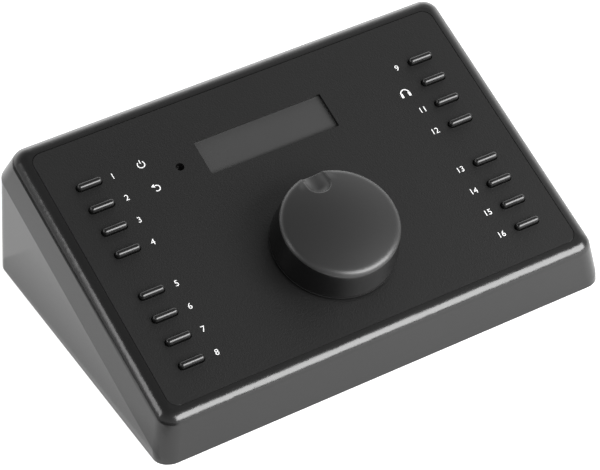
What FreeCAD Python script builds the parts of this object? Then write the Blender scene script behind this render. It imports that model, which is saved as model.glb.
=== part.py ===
"""Desktop studio monitor controller: a wedge housing with a framed fascia, sixteen keys,
a display and one large push-and-turn knob, over a row of sockets at the back.

Millimetres. X runs to the user's right, Y to the back and Z up. The origin is on the table,
under the middle of the housing. What belongs to the sloping deck is drawn flat, in the deck's
own frame (x to the right, y up the slope, z out of the fascia's surface), and then set down on
the slope by on_deck.
"""
import FreeCAD, Part
import math
import os

# Housing: a wedge whose deck slopes towards the user.
TILT = 20.0                 # slope of the deck, degrees
DECK_Y = -8.8               # where the deck frame's origin lies
DECK_Z = 42.9
FOOT_HEIGHT = 2.0           # the housing's bottom edge stands this high
WALL = 2.8
DECK_HALF_WIDTH = 95.1      # the deck's sharp outline, before its rim is rounded
DECK_FRONT = -60.05
DECK_BACK = 67.95
BAND_DEPTH = 16.4           # the crease round the flanks and back, below the deck
BAND_DRAFT = 12.5           # flanks above the crease, off the deck's normal, degrees
FLANK_DRAFT = 2.1           # flanks below the crease
FRONT_DRAFT = 26.0
BACK_BAND_DRAFT = 8.3       # back above the crease
BACK_DRAFT = -14.8          # back below the crease
RIM_RADIUS = 6.0            # rolled rim of the deck
CORNER_RADIUS = 7.0         # upright corners
DEEP = 78.0                 # a depth below every part of the base

# Fascia: a plate let into the deck, flush with its rim.
FASCIA_HALF_WIDTH = 90.0
FASCIA_FRONT = -55.65
FASCIA_BACK = 61.95
FASCIA_THICKNESS = 1.5
FASCIA_CORNER = 4.5
FASCIA_GROOVE = 0.15
FASCIA_CHAMFER = 0.15
DECK_UNDERSIDE = -3.9

# Keys: two columns of eight, in groups of four.
KEY_COLUMN = 74.44
KEY_ROWS = (41.71, 31.06, 20.41, 9.76, -9.76, -20.41, -31.06, -41.71)
KEY_LENGTH = 10.4
KEY_WIDTH = 2.7
KEY_CROWN = 2.4             # stands this proud of the fascia
KEY_SLOT = (11.2, 3.5)      # in the fascia
KEY_FLANGE = (11.9, 4.3)    # keeps the key in, under the fascia
KEY_GUIDE = (12.4, 4.7)     # pocket in the deck for the flange
KEY_FLANGE_TOP = -1.6
KEY_FLANGE_BOTTOM = -2.6
KEY_STEM = (6.0, 2.2)
KEY_STEM_BOTTOM = -8.1
SWITCH_SIDE = 6.0
SWITCH_HEIGHT = 3.5
PLUNGER_RADIUS = 1.75
PLUNGER_BOTTOM = -10.6
PLUNGER_CLEARANCE = 0.1

# Display and light pipe.
DISPLAY_Y = 35.2
DISPLAY_OPENING = (57.0, 16.1)
WINDOW_PANE = (61.0, 20.0, 1.0)
WINDOW_GAP = 0.2
GASKET = (62.0, 21.0, 1.0)
GASKET_OPENING = (58.0, 17.0)
MODULE = (62.0, 24.0, 2.0)
BRACKET_OPENING = (56.0, 18.0)
LIGHT_X = -38.5
LIGHT_Y = 35.15
LIGHT_HOLE_RADIUS = 1.7
LIGHT_PIPE_RADIUS = 1.6
LIGHT_PIPE_TOP = -3.2       # deep in the hole, so that the hole reads dark

# Knob and its encoder.
KNOB_Y = -18.4
KNOB_RADIUS = 25.15
KNOB_LIFT = 0.8             # gap over the fascia
KNOB_SIDE_TOP = (23.48, 14.27)  # radius and height where the tapered side ends
KNOB_EDGE_RADIUS = 2.2
KNOB_CROWN_TILT = 13.0      # slope of the crowned face where it meets the edge, degrees
KNOB_CAVITY_RADIUS = 22.2
KNOB_CAVITY_TOP = 10.4
KNOB_HUB_RADIUS = 6.5
KNOB_HUB_BOTTOM = 3.2
KNOB_RIB = 1.6
KNOB_RIBS = 6
SCOOP_RADIUS = 5.0          # finger scoop: a ball-nosed groove out through the edge
SCOOP_OFFSET = 18.2         # the ball's centre, from the knob's axis
SCOOP_HEIGHT = 18.2         # the ball's centre, over the fascia
SCOOP_SLOPE = 10.0
SCOOP_EDGE = 0.5            # rounding along the groove's edges
SHAFT_RADIUS = 3.0
SHAFT_FLAT = 1.5            # the flat lies this far off the axis
SHAFT_CLEARANCE = 0.05
SHAFT_TOP = 12.6
SHAFT_BOTTOM = -9.9
SHAFT_PLUNGER_BOTTOM = -10.9
ENCODER_SIDE = 14.0
ENCODER_CAVITY_BOTTOM = -11.6
BUSHING_RADIUS = 4.5
BUSHING_TOP = 2.4
WASHER_RADIUS = 7.5
WASHER_THICKNESS = 0.6
NUT_FLATS = 12.0
NUT_THICKNESS = 1.8
SPINDLE_HOLE_RADIUS = 9.0   # in the fascia, clear of the nut

# Control board, hung under the deck.
CONTROL_BOARD_TOP = -12.4
BOARD_THICKNESS = 1.6
CONTROL_BOARD = (-80.0, 80.0, -52.0, 50.0)
CONTROL_POSTS = ((-62.0, -46.0), (62.0, -46.0), (-62.0, 0.0), (62.0, 0.0), (-62.0, 46.0), (62.0, 46.0))
POST_RADIUS = 3.0

# Main board, on the base plate.
BASE_THICKNESS = 2.0
BASE_GAP = 0.3
MAIN_BOARD = (-84.0, 84.0, 4.0, 56.0)
MAIN_BOARD_BOTTOM = 10.0
MAIN_POSTS = ((-80.0, 9.0), (80.0, 9.0), (-20.0, 9.0), (-66.0, 38.0), (11.0, 24.0))
BASE_SCREWS = ((-88.5, -57.0), (88.5, -57.0), (-89.0, 51.0), (89.0, 51.0))
BOSS_RADIUS = 4.0
FEET = {"front_left": (-77.0, -50.0), "front_right": (77.0, -50.0),
        "rear_left": (-77.0, 52.0), "rear_right": (77.0, 52.0)}
FOOT_RADIUS = 7.0
FOOT_RECESS = 0.6

# Screws.
SCREW_RADIUS = 1.2
SCREW_CLEARANCE = 0.05
THROUGH_HOLE_RADIUS = 1.5
HEAD_RADIUS = 2.4
HEAD_HEIGHT = 1.3

# Rear panel in its framed pocket.
PANEL_LEDGE_Y = 60.5
PANEL_THICKNESS = 2.0
POCKET = (-85.0, 85.0, 8.0, 32.0)       # low x, high x, low z, high z
POCKET_WINDOW = (-80.0, 80.0, 11.0, 29.0)
POCKET_FRAME = (-90.0, 90.0, 4.6, 35.5)
FRAME_Y = 57.5
PANEL_GAP = 0.3
PANEL_SCREWS = ((-82.5, 14.0), (82.5, 14.0), (-82.5, 26.0), (82.5, 26.0))

# Sockets, from left to right as seen from the front; all share one axis height.
ROW_Z = 18.5
DC_INLET_X = -75.5
DC_MOUTH_RADIUS = 3.0
DC_PIN_RADIUS = 1.0
USB_X = -64.0
USB_Z = 13.6
USB_SHELL = (8.94, 3.26)
USB_WALL = 0.35
NETWORK_X = -49.0
REMOTE_X = -31.0
MODULAR_WIDTH = 16.0
MODULAR_HEIGHT = 13.4
MODULAR_MOUTH = (11.8, 8.0, 12.0)       # wide, high, deep
MODULAR_LATCH = (6.2, 2.2)
DIGITAL_X = -14.5
DIGITAL_SIDE = 10.0
DIGITAL_MOUTH = (8.2, 8.0)
JACKS = {"input_jack_left": 2.0, "input_jack_right": 20.0, "output_jack_left": 38.0,
         "output_jack_right": 56.0, "headphone_jack": 74.0}
JACK_WIDTH = 15.6
JACK_HEIGHT = 13.6
JACK_BACK_Y = 29.0
JACK_FRONT_Y = 57.3
JACK_BORE_RADIUS = 3.2
JACK_BORE_END_Y = 33.3
JACK_BUSHING_RADIUS = 4.6
JACK_BUSHING_END_Y = 64.3
JACK_NUT_FLATS = 11.5
JACK_NUT_THICKNESS = 1.6

# Ribbon cable between the boards.
HEADER_WIDTH = 30.0
CABLE_WIDTH = 24.0
CABLE_THICKNESS = 1.0
CABLE_BEND_RADIUS = 5.0
CONTROL_HEADER_Y = -5.0
HEADER_DEPTH = 6.0


def box(x0, x1, y0, y1, z0, z1):
    """A block between two opposite corners."""
    return Part.makeBox(x1 - x0, y1 - y0, z1 - z0, FreeCAD.Vector(x0, y0, z0))


def rod(x, y, z0, z1, radius):
    """An upright cylinder."""
    return Part.makeCylinder(radius, z1 - z0, FreeCAD.Vector(x, y, z0))


def rod_back(x, z, y0, y1, radius):
    """A cylinder that points to the back."""
    return Part.makeCylinder(radius, y1 - y0, FreeCAD.Vector(x, y0, z), FreeCAD.Vector(0, 1, 0))


def rounded_outline(x0, x1, y0, y1, z, radius):
    """A closed rectangle with round corners, at height z."""
    corners = ((x1, y1, 0.0), (x0, y1, 90.0), (x0, y0, 180.0), (x1, y0, 270.0))
    arcs = []
    for x, y, start in corners:
        centre = FreeCAD.Vector(x - math.copysign(radius, x - (x0 + x1) / 2),
                                y - math.copysign(radius, y - (y0 + y1) / 2), z)
        circle = Part.Circle(centre, FreeCAD.Vector(0, 0, 1), radius)
        arcs.append(circle.toShape(math.radians(start), math.radians(start + 90)))
    edges = []
    for arc, following in zip(arcs, arcs[1:] + arcs[:1]):
        edges.append(arc)
        start = arc.Vertexes[-1].Point
        end = following.Vertexes[0].Point
        if start.distanceToPoint(end) > 1e-6:
            edges.append(Part.makeLine(start, end))
    return Part.Wire(edges)


def plate(x0, x1, y0, y1, z0, z1, radius):
    """A flat plate with round corners."""
    face = Part.Face(rounded_outline(x0, x1, y0, y1, z0, radius))
    return face.extrude(FreeCAD.Vector(0, 0, z1 - z0))


def slug(x, y, size, z0, z1):
    """A full-round slot shape, long in x."""
    length, width = size
    radius, reach = width / 2, (length - width) / 2
    right_low, right_high = FreeCAD.Vector(x + reach, y - radius, z0), FreeCAD.Vector(x + reach, y + radius, z0)
    left_low, left_high = FreeCAD.Vector(x - reach, y - radius, z0), FreeCAD.Vector(x - reach, y + radius, z0)
    outline = Part.Wire([
        Part.makeLine(left_low, right_low),
        Part.Arc(right_low, FreeCAD.Vector(x + reach + radius, y, z0), right_high).toShape(),
        Part.makeLine(right_high, left_high),
        Part.Arc(left_high, FreeCAD.Vector(x - reach - radius, y, z0), left_low).toShape()])
    return Part.Face(outline).extrude(FreeCAD.Vector(0, 0, z1 - z0))


def centred_block(size, y, z0, z1):
    """A block centred on x = 0 and on the given y."""
    width, height = size[0], size[1]
    return box(-width / 2, width / 2, y - height / 2, y + height / 2, z0, z1)


def hexagon(flats, thickness):
    """A hexagonal prism on the origin, upright."""
    corner = flats / 2 / math.cos(math.radians(30))
    points = []
    for step in range(7):
        angle = math.radians(60 * step)
        points.append(FreeCAD.Vector(corner * math.cos(angle), corner * math.sin(angle), 0))
    return Part.Face(Part.makePolygon(points)).extrude(FreeCAD.Vector(0, 0, thickness))


def screw_down(x, y, z, length):
    """A pan-head screw driven down, its head seated on height z."""
    bevel = 0.5
    head = rod(x, y, z, z + HEAD_HEIGHT - bevel, HEAD_RADIUS)
    crown = Part.makeCone(HEAD_RADIUS, HEAD_RADIUS - bevel, bevel, FreeCAD.Vector(x, y, z + HEAD_HEIGHT - bevel))
    return head.fuse([crown, rod(x, y, z - length, z, SCREW_RADIUS)])


def cut_all(shape, tools):
    """Take every tool away from the shape."""
    return shape.cut(Part.makeCompound(tools)) if tools else shape


def on_deck(shape):
    """Move a shape from the deck's frame to its place on the slope."""
    placed = shape.copy()
    slope = FreeCAD.Rotation(FreeCAD.Vector(1, 0, 0), TILT)
    placed.Placement = FreeCAD.Placement(FreeCAD.Vector(0, DECK_Y, DECK_Z), slope).multiply(shape.Placement)
    return placed


def wedge_section(depth, inset, radius, below_crease):
    """The wedge's outline parallel to the deck at a depth, drawn in by inset on every side."""
    past = depth - BAND_DEPTH if below_crease else 0.0
    band = BAND_DEPTH if below_crease else depth
    flank = FLANK_DRAFT if below_crease else BAND_DRAFT
    back = BACK_DRAFT if below_crease else BACK_BAND_DRAFT
    half = (DECK_HALF_WIDTH + band * math.tan(math.radians(BAND_DRAFT))
            + past * math.tan(math.radians(FLANK_DRAFT)) - inset / math.cos(math.radians(flank)))
    rear = (DECK_BACK + band * math.tan(math.radians(BACK_BAND_DRAFT))
            + past * math.tan(math.radians(BACK_DRAFT)) - inset / math.cos(math.radians(back)))
    front = (DECK_FRONT - depth * math.tan(math.radians(FRONT_DRAFT))
             + inset / math.cos(math.radians(FRONT_DRAFT)))
    return rounded_outline(-half, half, front, rear, -depth, radius)


def wedge(inset, top_depth, radius):
    """The wedge between a depth under the deck and the housing's bottom edge, in place."""
    sections = [wedge_section(top_depth, inset, radius, False),
                wedge_section(BAND_DEPTH, inset, radius, False),
                wedge_section(DEEP, inset, radius, True)]
    return on_deck(Part.makeLoft(sections, True, True))


def above_base(shape):
    """Trim a shape at the housing's bottom edge."""
    return shape.common(box(-150, 150, -150, 150, FOOT_HEIGHT, 150))


def rolled_wedge():
    """The housing's outer form, its deck rim rolled over all round."""
    sections = [wedge_section(0.0, 0.0, CORNER_RADIUS, False),
                wedge_section(BAND_DEPTH, 0.0, CORNER_RADIUS, False),
                wedge_section(DEEP, 0.0, CORNER_RADIUS, True)]
    body = Part.makeLoft(sections, True, True)
    rim = [edge for edge in body.Edges if abs(edge.BoundBox.ZMax) < 1e-4 and abs(edge.BoundBox.ZMin) < 1e-4]
    return above_base(on_deck(body.makeFillet(RIM_RADIUS, rim)))


def key_places():
    """Name and place of each key, in the deck's frame."""
    places = []
    for side, x in (("left", -KEY_COLUMN), ("right", KEY_COLUMN)):
        for number, y in enumerate(KEY_ROWS, 1):
            places.append((f"key_{side}_{number}", x, y))
    return places


def deck_openings():
    """What is cut out of the deck: fascia recess, key guides, display, spindle and light pipe."""
    groove = FASCIA_GROOVE
    tools = [plate(-FASCIA_HALF_WIDTH - groove, FASCIA_HALF_WIDTH + groove, FASCIA_FRONT - groove,
                   FASCIA_BACK + groove, -FASCIA_THICKNESS, 5, FASCIA_CORNER + groove)]
    for name, x, y in key_places():
        tools.append(slug(x, y, KEY_GUIDE, DECK_UNDERSIDE - 1, 0))
    pane_bottom = -FASCIA_THICKNESS - WINDOW_PANE[2]
    ledge = (WINDOW_PANE[0] + 2 * WINDOW_GAP, WINDOW_PANE[1] + 2 * WINDOW_GAP)
    tools.append(centred_block(ledge, DISPLAY_Y, pane_bottom, 0))
    tools.append(centred_block(GASKET_OPENING, DISPLAY_Y, DECK_UNDERSIDE - 1, 0))
    tools.append(rod(0, KNOB_Y, DECK_UNDERSIDE - 1, 0, BUSHING_RADIUS + 0.2))
    tools.append(rod(LIGHT_X, LIGHT_Y, DECK_UNDERSIDE - 1, 0, LIGHT_HOLE_RADIUS))
    return tools


def rear_frame():
    """The thick frame behind the rear wall that the rear panel sits in."""
    x0, x1, z0, z1 = POCKET_FRAME
    return box(x0, x1, FRAME_Y, 80, z0, z1)


def rear_pocket():
    """The pocket and window cut through that frame, with the panel's screw holes."""
    x0, x1, z0, z1 = POCKET
    wx0, wx1, wz0, wz1 = POCKET_WINDOW
    tools = [box(x0, x1, PANEL_LEDGE_Y, 80, z0, z1), box(wx0, wx1, FRAME_Y - 5, 80, wz0, wz1)]
    for x, z in PANEL_SCREWS:
        tools.append(rod_back(x, z, FRAME_Y + 0.4, PANEL_LEDGE_Y + 1, SCREW_RADIUS + SCREW_CLEARANCE))
    return tools


def housing_posts():
    """Posts for the control board and bosses for the base screws, reaching up into the deck."""
    deck_posts = [rod(x, y, CONTROL_BOARD_TOP, DECK_UNDERSIDE + 1, POST_RADIUS) for x, y in CONTROL_POSTS]
    bosses = [rod(x, y, FOOT_HEIGHT + BASE_THICKNESS, 90, BOSS_RADIUS) for x, y in BASE_SCREWS]
    core = wedge(WALL - 1.0, -DECK_UNDERSIDE - 1.0, CORNER_RADIUS)
    bosses = Part.makeCompound(bosses).common(core)
    return on_deck(Part.makeCompound(deck_posts)), bosses


def housing_screw_holes():
    """Pilot holes in the posts and bosses."""
    radius = SCREW_RADIUS + SCREW_CLEARANCE
    deck_holes = [rod(x, y, CONTROL_BOARD_TOP - 1, CONTROL_BOARD_TOP + 6.5, radius) for x, y in CONTROL_POSTS]
    base_z = FOOT_HEIGHT + BASE_THICKNESS
    base_holes = [rod(x, y, base_z - 1, base_z + 9, radius) for x, y in BASE_SCREWS]
    return [on_deck(Part.makeCompound(deck_holes))] + base_holes


def top_housing():
    """The moulded shell: deck, flanks, front and back in one piece, open underneath."""
    outer = rolled_wedge()
    inner = wedge(WALL, -DECK_UNDERSIDE, CORNER_RADIUS - WALL)
    shell = outer.cut(inner)
    deck_posts, bosses = housing_posts()
    frame = rear_frame().common(outer)
    shell = shell.fuse([deck_posts, bosses, frame])
    shell = shell.cut(on_deck(Part.makeCompound(deck_openings())))
    for tool in rear_pocket() + housing_screw_holes():
        shell = shell.cut(tool)
    return shell.removeSplitter()


def fascia_panel():
    """The flat plate that covers the deck, with every opening in it."""
    panel = plate(-FASCIA_HALF_WIDTH, FASCIA_HALF_WIDTH, FASCIA_FRONT, FASCIA_BACK,
                  -FASCIA_THICKNESS, 0, FASCIA_CORNER)
    top_edges = [edge for edge in panel.Edges if edge.BoundBox.ZMin > -1e-4]
    panel = panel.makeChamfer(FASCIA_CHAMFER, top_edges)
    tools = [slug(x, y, KEY_SLOT, -5, 5) for name, x, y in key_places()]
    tools.append(plate(-DISPLAY_OPENING[0] / 2, DISPLAY_OPENING[0] / 2, DISPLAY_Y - DISPLAY_OPENING[1] / 2,
                       DISPLAY_Y + DISPLAY_OPENING[1] / 2, -5, 5, 0.4))
    tools.append(rod(0, KNOB_Y, -5, 5, SPINDLE_HOLE_RADIUS))
    tools.append(rod(LIGHT_X, LIGHT_Y, -5, 5, LIGHT_HOLE_RADIUS))
    return on_deck(cut_all(panel, tools))


def display_window():
    """The smoked pane under the fascia's opening."""
    top = -FASCIA_THICKNESS
    return on_deck(centred_block(WINDOW_PANE, DISPLAY_Y, top - WINDOW_PANE[2], top))


def display_gasket():
    """Foam frame between the deck and the display module."""
    top = DECK_UNDERSIDE
    frame = centred_block(GASKET, DISPLAY_Y, top - GASKET[2], top)
    return on_deck(frame.cut(centred_block(GASKET_OPENING, DISPLAY_Y, top - 5, top + 5)))


def display_module():
    """The display glass, with its thinner driver ledge at the lower side."""
    top = DECK_UNDERSIDE - GASKET[2]
    module = centred_block(MODULE, DISPLAY_Y, top - MODULE[2], top)
    low_side = DISPLAY_Y - MODULE[1] / 2
    ledge = box(-MODULE[0] / 2 - 1, MODULE[0] / 2 + 1, low_side - 1, low_side + 1.4, top - 0.9, top + 1)
    return on_deck(module.cut(ledge))


def display_bracket():
    """The frame that presses the display module up from the control board."""
    top = DECK_UNDERSIDE - GASKET[2] - MODULE[2]
    frame = centred_block(MODULE, DISPLAY_Y, CONTROL_BOARD_TOP, top)
    return on_deck(frame.cut(centred_block(BRACKET_OPENING, DISPLAY_Y, CONTROL_BOARD_TOP - 1, top + 1)))


def light_pipe():
    """A clear rod that carries light from the bottom of the fascia's small hole to the sensor."""
    pipe = rod(LIGHT_X, LIGHT_Y, -10.7, LIGHT_PIPE_TOP, LIGHT_PIPE_RADIUS)
    collar = rod(LIGHT_X, LIGHT_Y, DECK_UNDERSIDE - 1, DECK_UNDERSIDE, LIGHT_PIPE_RADIUS + 1.2)
    return on_deck(pipe.fuse(collar))


def light_sensor():
    """The light sensor on the control board."""
    half = 1.75
    return on_deck(box(LIGHT_X - half, LIGHT_X + half, LIGHT_Y - half, LIGHT_Y + half,
                       CONTROL_BOARD_TOP, -10.7))


def control_board():
    """The board under the deck that carries switches, encoder and display."""
    x0, x1, y0, y1 = CONTROL_BOARD
    board = plate(x0, x1, y0, y1, CONTROL_BOARD_TOP - BOARD_THICKNESS, CONTROL_BOARD_TOP, 2.0)
    holes = [rod(x, y, -20, 0, THROUGH_HOLE_RADIUS) for x, y in CONTROL_POSTS]
    return on_deck(cut_all(board, holes))


def control_board_screws():
    """Six screws that hold the control board to the deck's posts."""
    screws = []
    under = CONTROL_BOARD_TOP - BOARD_THICKNESS
    for x, y in CONTROL_POSTS:
        screw = screw_down(x, y, under, 6.0)
        screw.rotate(FreeCAD.Vector(x, y, under), FreeCAD.Vector(1, 0, 0), 180)
        screws.append(screw)
    return on_deck(Part.makeCompound(screws))


def tactile_switches():
    """Sixteen square switch bodies, each bored for its plunger."""
    half = SWITCH_SIDE / 2
    switches = []
    for name, x, y in key_places():
        body = box(x - half, x + half, y - half, y + half, CONTROL_BOARD_TOP, CONTROL_BOARD_TOP + SWITCH_HEIGHT)
        bore = rod(x, y, PLUNGER_BOTTOM - 0.8, 0, PLUNGER_RADIUS + PLUNGER_CLEARANCE)
        switches.append(body.cut(bore))
    return on_deck(Part.makeCompound(switches))


def key_crown(x, y):
    """The full-round top of a key: a lying bar with ball ends."""
    radius = KEY_WIDTH / 2
    reach = (KEY_LENGTH - KEY_WIDTH) / 2
    z = KEY_CROWN - radius
    bar = Part.makeCylinder(radius, 2 * reach, FreeCAD.Vector(x - reach, y, z), FreeCAD.Vector(1, 0, 0))
    balls = [Part.makeSphere(radius, FreeCAD.Vector(end, y, z)) for end in (x - reach, x + reach)]
    return bar.fuse(balls)


def key(x, y):
    """A key: crowned cap, flange under the fascia and stem, with its switch's plunger below."""
    cap = slug(x, y, (KEY_LENGTH, KEY_WIDTH), KEY_FLANGE_BOTTOM, KEY_CROWN - KEY_WIDTH / 2)
    flange = slug(x, y, KEY_FLANGE, KEY_FLANGE_BOTTOM, KEY_FLANGE_TOP)
    length, width = KEY_STEM
    stem = box(x - length / 2, x + length / 2, y - width / 2, y + width / 2, KEY_STEM_BOTTOM,
               KEY_FLANGE_BOTTOM)
    cap = cap.fuse([key_crown(x, y), flange, stem]).removeSplitter()
    plunger = rod(x, y, PLUNGER_BOTTOM, KEY_STEM_BOTTOM, PLUNGER_RADIUS)
    return on_deck(Part.makeCompound([cap, plunger]))


def encoder_body():
    """The encoder's case and threaded bushing, bored for the shaft and its plunger."""
    half = ENCODER_SIDE / 2
    case = box(-half, half, KNOB_Y - half, KNOB_Y + half, CONTROL_BOARD_TOP, DECK_UNDERSIDE)
    bushing = rod(0, KNOB_Y, DECK_UNDERSIDE, BUSHING_TOP, BUSHING_RADIUS)
    bore = rod(0, KNOB_Y, ENCODER_CAVITY_BOTTOM, BUSHING_TOP + 1, SHAFT_RADIUS + SHAFT_CLEARANCE)
    return on_deck(case.fuse(bushing).cut(bore))


def encoder_washer():
    """The washer under the encoder's nut."""
    bottom = -FASCIA_THICKNESS
    ring = rod(0, KNOB_Y, bottom, bottom + WASHER_THICKNESS, WASHER_RADIUS)
    return on_deck(ring.cut(rod(0, KNOB_Y, bottom - 1, bottom + 2, BUSHING_RADIUS + 0.1)))


def encoder_nut():
    """The hexagon nut that clamps the encoder to the deck."""
    bottom = -FASCIA_THICKNESS + WASHER_THICKNESS
    nut = hexagon(NUT_FLATS, NUT_THICKNESS)
    nut.translate(FreeCAD.Vector(0, KNOB_Y, bottom))
    return on_deck(nut.cut(rod(0, KNOB_Y, bottom - 1, bottom + 4, BUSHING_RADIUS + 0.02)))


def shaft_section(z0, z1, extra):
    """A round shaft with one flat, grown by extra."""
    radius = SHAFT_RADIUS + extra
    round_bar = rod(0, KNOB_Y, z0, z1, radius)
    return round_bar.cut(box(-radius, radius, KNOB_Y + SHAFT_FLAT + extra, KNOB_Y + 10, z0, z1))


def encoder_shaft():
    """The turning shaft: round in the bushing, flatted where it drives the knob."""
    lower = rod(0, KNOB_Y, SHAFT_BOTTOM, KNOB_HUB_BOTTOM, SHAFT_RADIUS)
    return on_deck(lower.fuse(shaft_section(KNOB_HUB_BOTTOM, SHAFT_TOP, 0.0)))


def encoder_plunger():
    """The plunger that the shaft pushes down."""
    return on_deck(rod(0, KNOB_Y, SHAFT_PLUNGER_BOTTOM, SHAFT_BOTTOM, SHAFT_RADIUS - 0.05))


def knob_body():
    """The knob without its scoop: tapered side and rounded edge, turned, under a ball-segment crown."""
    def at(radius, z):
        return FreeCAD.Vector(radius, KNOB_Y, z)

    def along(centre, radius, angle):
        return centre + FreeCAD.Vector(radius * math.sin(angle), 0, radius * math.cos(angle))

    low_rim = at(KNOB_RADIUS - 0.4, KNOB_LIFT)
    side_foot = at(KNOB_RADIUS, KNOB_LIFT + 0.4)
    side_top = at(*KNOB_SIDE_TOP)
    side_tilt = math.atan2(side_top.z - side_foot.z, side_foot.x - side_top.x)
    crown_tilt = math.radians(KNOB_CROWN_TILT)
    edge_centre = along(side_top, -KNOB_EDGE_RADIUS, side_tilt)
    edge_mid = along(edge_centre, KNOB_EDGE_RADIUS, (crown_tilt + side_tilt) / 2)
    edge_in = along(edge_centre, KNOB_EDGE_RADIUS, crown_tilt)
    section = Part.Wire([
        Part.makeLine(at(0, KNOB_LIFT), low_rim),
        Part.makeLine(low_rim, side_foot),
        Part.makeLine(side_foot, side_top),
        Part.Arc(side_top, edge_mid, edge_in).toShape(),
        Part.makeLine(edge_in, at(0, edge_in.z)),
        Part.makeLine(at(0, edge_in.z), at(0, KNOB_LIFT))])
    turned = Part.Face(section).revolve(FreeCAD.Vector(0, KNOB_Y, 0), FreeCAD.Vector(0, 0, 1), 360)
    ball_radius = edge_in.x / math.sin(crown_tilt)
    ball_centre = at(0, edge_in.z - ball_radius * math.cos(crown_tilt))
    ball = Part.makeSphere(ball_radius, ball_centre, FreeCAD.Vector(1, 0, 0))
    return turned.fuse(ball.common(box(-30, 30, -60, 30, edge_in.z, 40)))


def knob_form():
    """The knob's outer form, with the finger scoop cut through its edge and eased round."""
    start = FreeCAD.Vector(0, KNOB_Y + SCOOP_OFFSET, SCOOP_HEIGHT)
    slope = math.radians(SCOOP_SLOPE)
    outward = FreeCAD.Vector(0, math.cos(slope), -math.sin(slope))
    groove = Part.makeSphere(SCOOP_RADIUS, start, outward).fuse(
        Part.makeCylinder(SCOOP_RADIUS, 20, start, outward))
    scooped = knob_body().cut(groove.removeSplitter()).Solids[0]
    groove_faces = [face for face in scooped.Faces
                    if hasattr(face.Surface, "Radius") and abs(face.Surface.Radius - SCOOP_RADIUS) < 1e-6]
    inside = [edge for face in groove_faces for edge in face.Edges]
    rim = [edge for edge in inside if sum(edge.isSame(other) for other in inside) == 1]
    return scooped.makeFillet(SCOOP_EDGE, rim)


def knob():
    """The big knob: hollow underneath, with a hub and ribs."""
    form = knob_form()
    hollow = rod(0, KNOB_Y, 0, KNOB_CAVITY_TOP, KNOB_CAVITY_RADIUS)
    hub = rod(0, KNOB_Y, KNOB_HUB_BOTTOM, KNOB_CAVITY_TOP, KNOB_HUB_RADIUS)
    hollow = hollow.cut(hub)
    for step in range(KNOB_RIBS):
        rib = box(0, KNOB_CAVITY_RADIUS + 0.5, KNOB_Y - KNOB_RIB / 2, KNOB_Y + KNOB_RIB / 2,
                  KNOB_HUB_BOTTOM, KNOB_CAVITY_TOP)
        rib.rotate(FreeCAD.Vector(0, KNOB_Y, 0), FreeCAD.Vector(0, 0, 1), 30 + step * 360 / KNOB_RIBS)
        hollow = hollow.cut(rib)
    bore = shaft_section(KNOB_HUB_BOTTOM - 1, SHAFT_TOP + 0.2, 0.02)
    return on_deck(form.cut(hollow).cut(bore))


def base_plate():
    """The bottom plate, with standoffs for the main board and shallow seats for the feet."""
    low, top = FOOT_HEIGHT, FOOT_HEIGHT + BASE_THICKNESS
    fit_in = wedge(WALL + BASE_GAP, -DECK_UNDERSIDE, CORNER_RADIUS - WALL - BASE_GAP)
    base = fit_in.common(box(-150, 150, -150, 150, low, top))
    posts = [rod(x, y, top, MAIN_BOARD_BOTTOM, POST_RADIUS) for x, y in MAIN_POSTS]
    base = base.fuse(posts)
    tools = [rod(x, y, top + 0.5, MAIN_BOARD_BOTTOM + 1, SCREW_RADIUS + SCREW_CLEARANCE) for x, y in MAIN_POSTS]
    for x, y in BASE_SCREWS:
        tools.append(rod(x, y, low - 1, top + 1, THROUGH_HOLE_RADIUS))
        tools.append(rod(x, y, low - 1, low + 1.0, HEAD_RADIUS + 0.3))
    for x, y in FEET.values():
        tools.append(rod(x, y, low - 1, low + FOOT_RECESS, FOOT_RADIUS + 0.2))
    return cut_all(base, tools)


def base_plate_screws():
    """Four screws from below, their heads sunk in the base plate."""
    seat = FOOT_HEIGHT + 1.0
    screws = []
    for x, y in BASE_SCREWS:
        head = rod(x, y, FOOT_HEIGHT + 0.1, seat, HEAD_RADIUS)
        screws.append(head.fuse(rod(x, y, seat, seat + 8, SCREW_RADIUS)))
    return Part.makeCompound(screws)


def foot(x, y):
    """A domed rubber foot glued into its seat."""
    pad = rod(x, y, 0, FOOT_HEIGHT + FOOT_RECESS, FOOT_RADIUS)
    rim = [edge for edge in pad.Edges if edge.BoundBox.ZMax < 1e-4]
    return pad.makeChamfer(0.5, rim[:1])


def main_board():
    """The board on the base plate that carries the sockets."""
    x0, x1, y0, y1 = MAIN_BOARD
    top = MAIN_BOARD_BOTTOM + BOARD_THICKNESS
    board = plate(x0, x1, y0, y1, MAIN_BOARD_BOTTOM, top, 2.0)
    return cut_all(board, [rod(x, y, 0, 20, THROUGH_HOLE_RADIUS) for x, y in MAIN_POSTS])


def main_board_screws():
    """Screws that hold the main board to its standoffs."""
    top = MAIN_BOARD_BOTTOM + BOARD_THICKNESS
    return Part.makeCompound([screw_down(x, y, top, 5.5) for x, y in MAIN_POSTS])


def main_board_chips():
    """The processor, the converter, the network controller and two coils on the main board."""
    top = MAIN_BOARD_BOTTOM + BOARD_THICKNESS
    chips = [box(-6, 8, 14, 27, top, top + 1.4), box(24, 34, 10, 20, top, top + 1.2),
             box(-46, -36, 12, 22, top, top + 1.2), box(-72, -64, 16, 24, top, top + 4.0),
             box(52, 60, 12, 20, top, top + 4.0)]
    return Part.makeCompound(chips)


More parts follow.
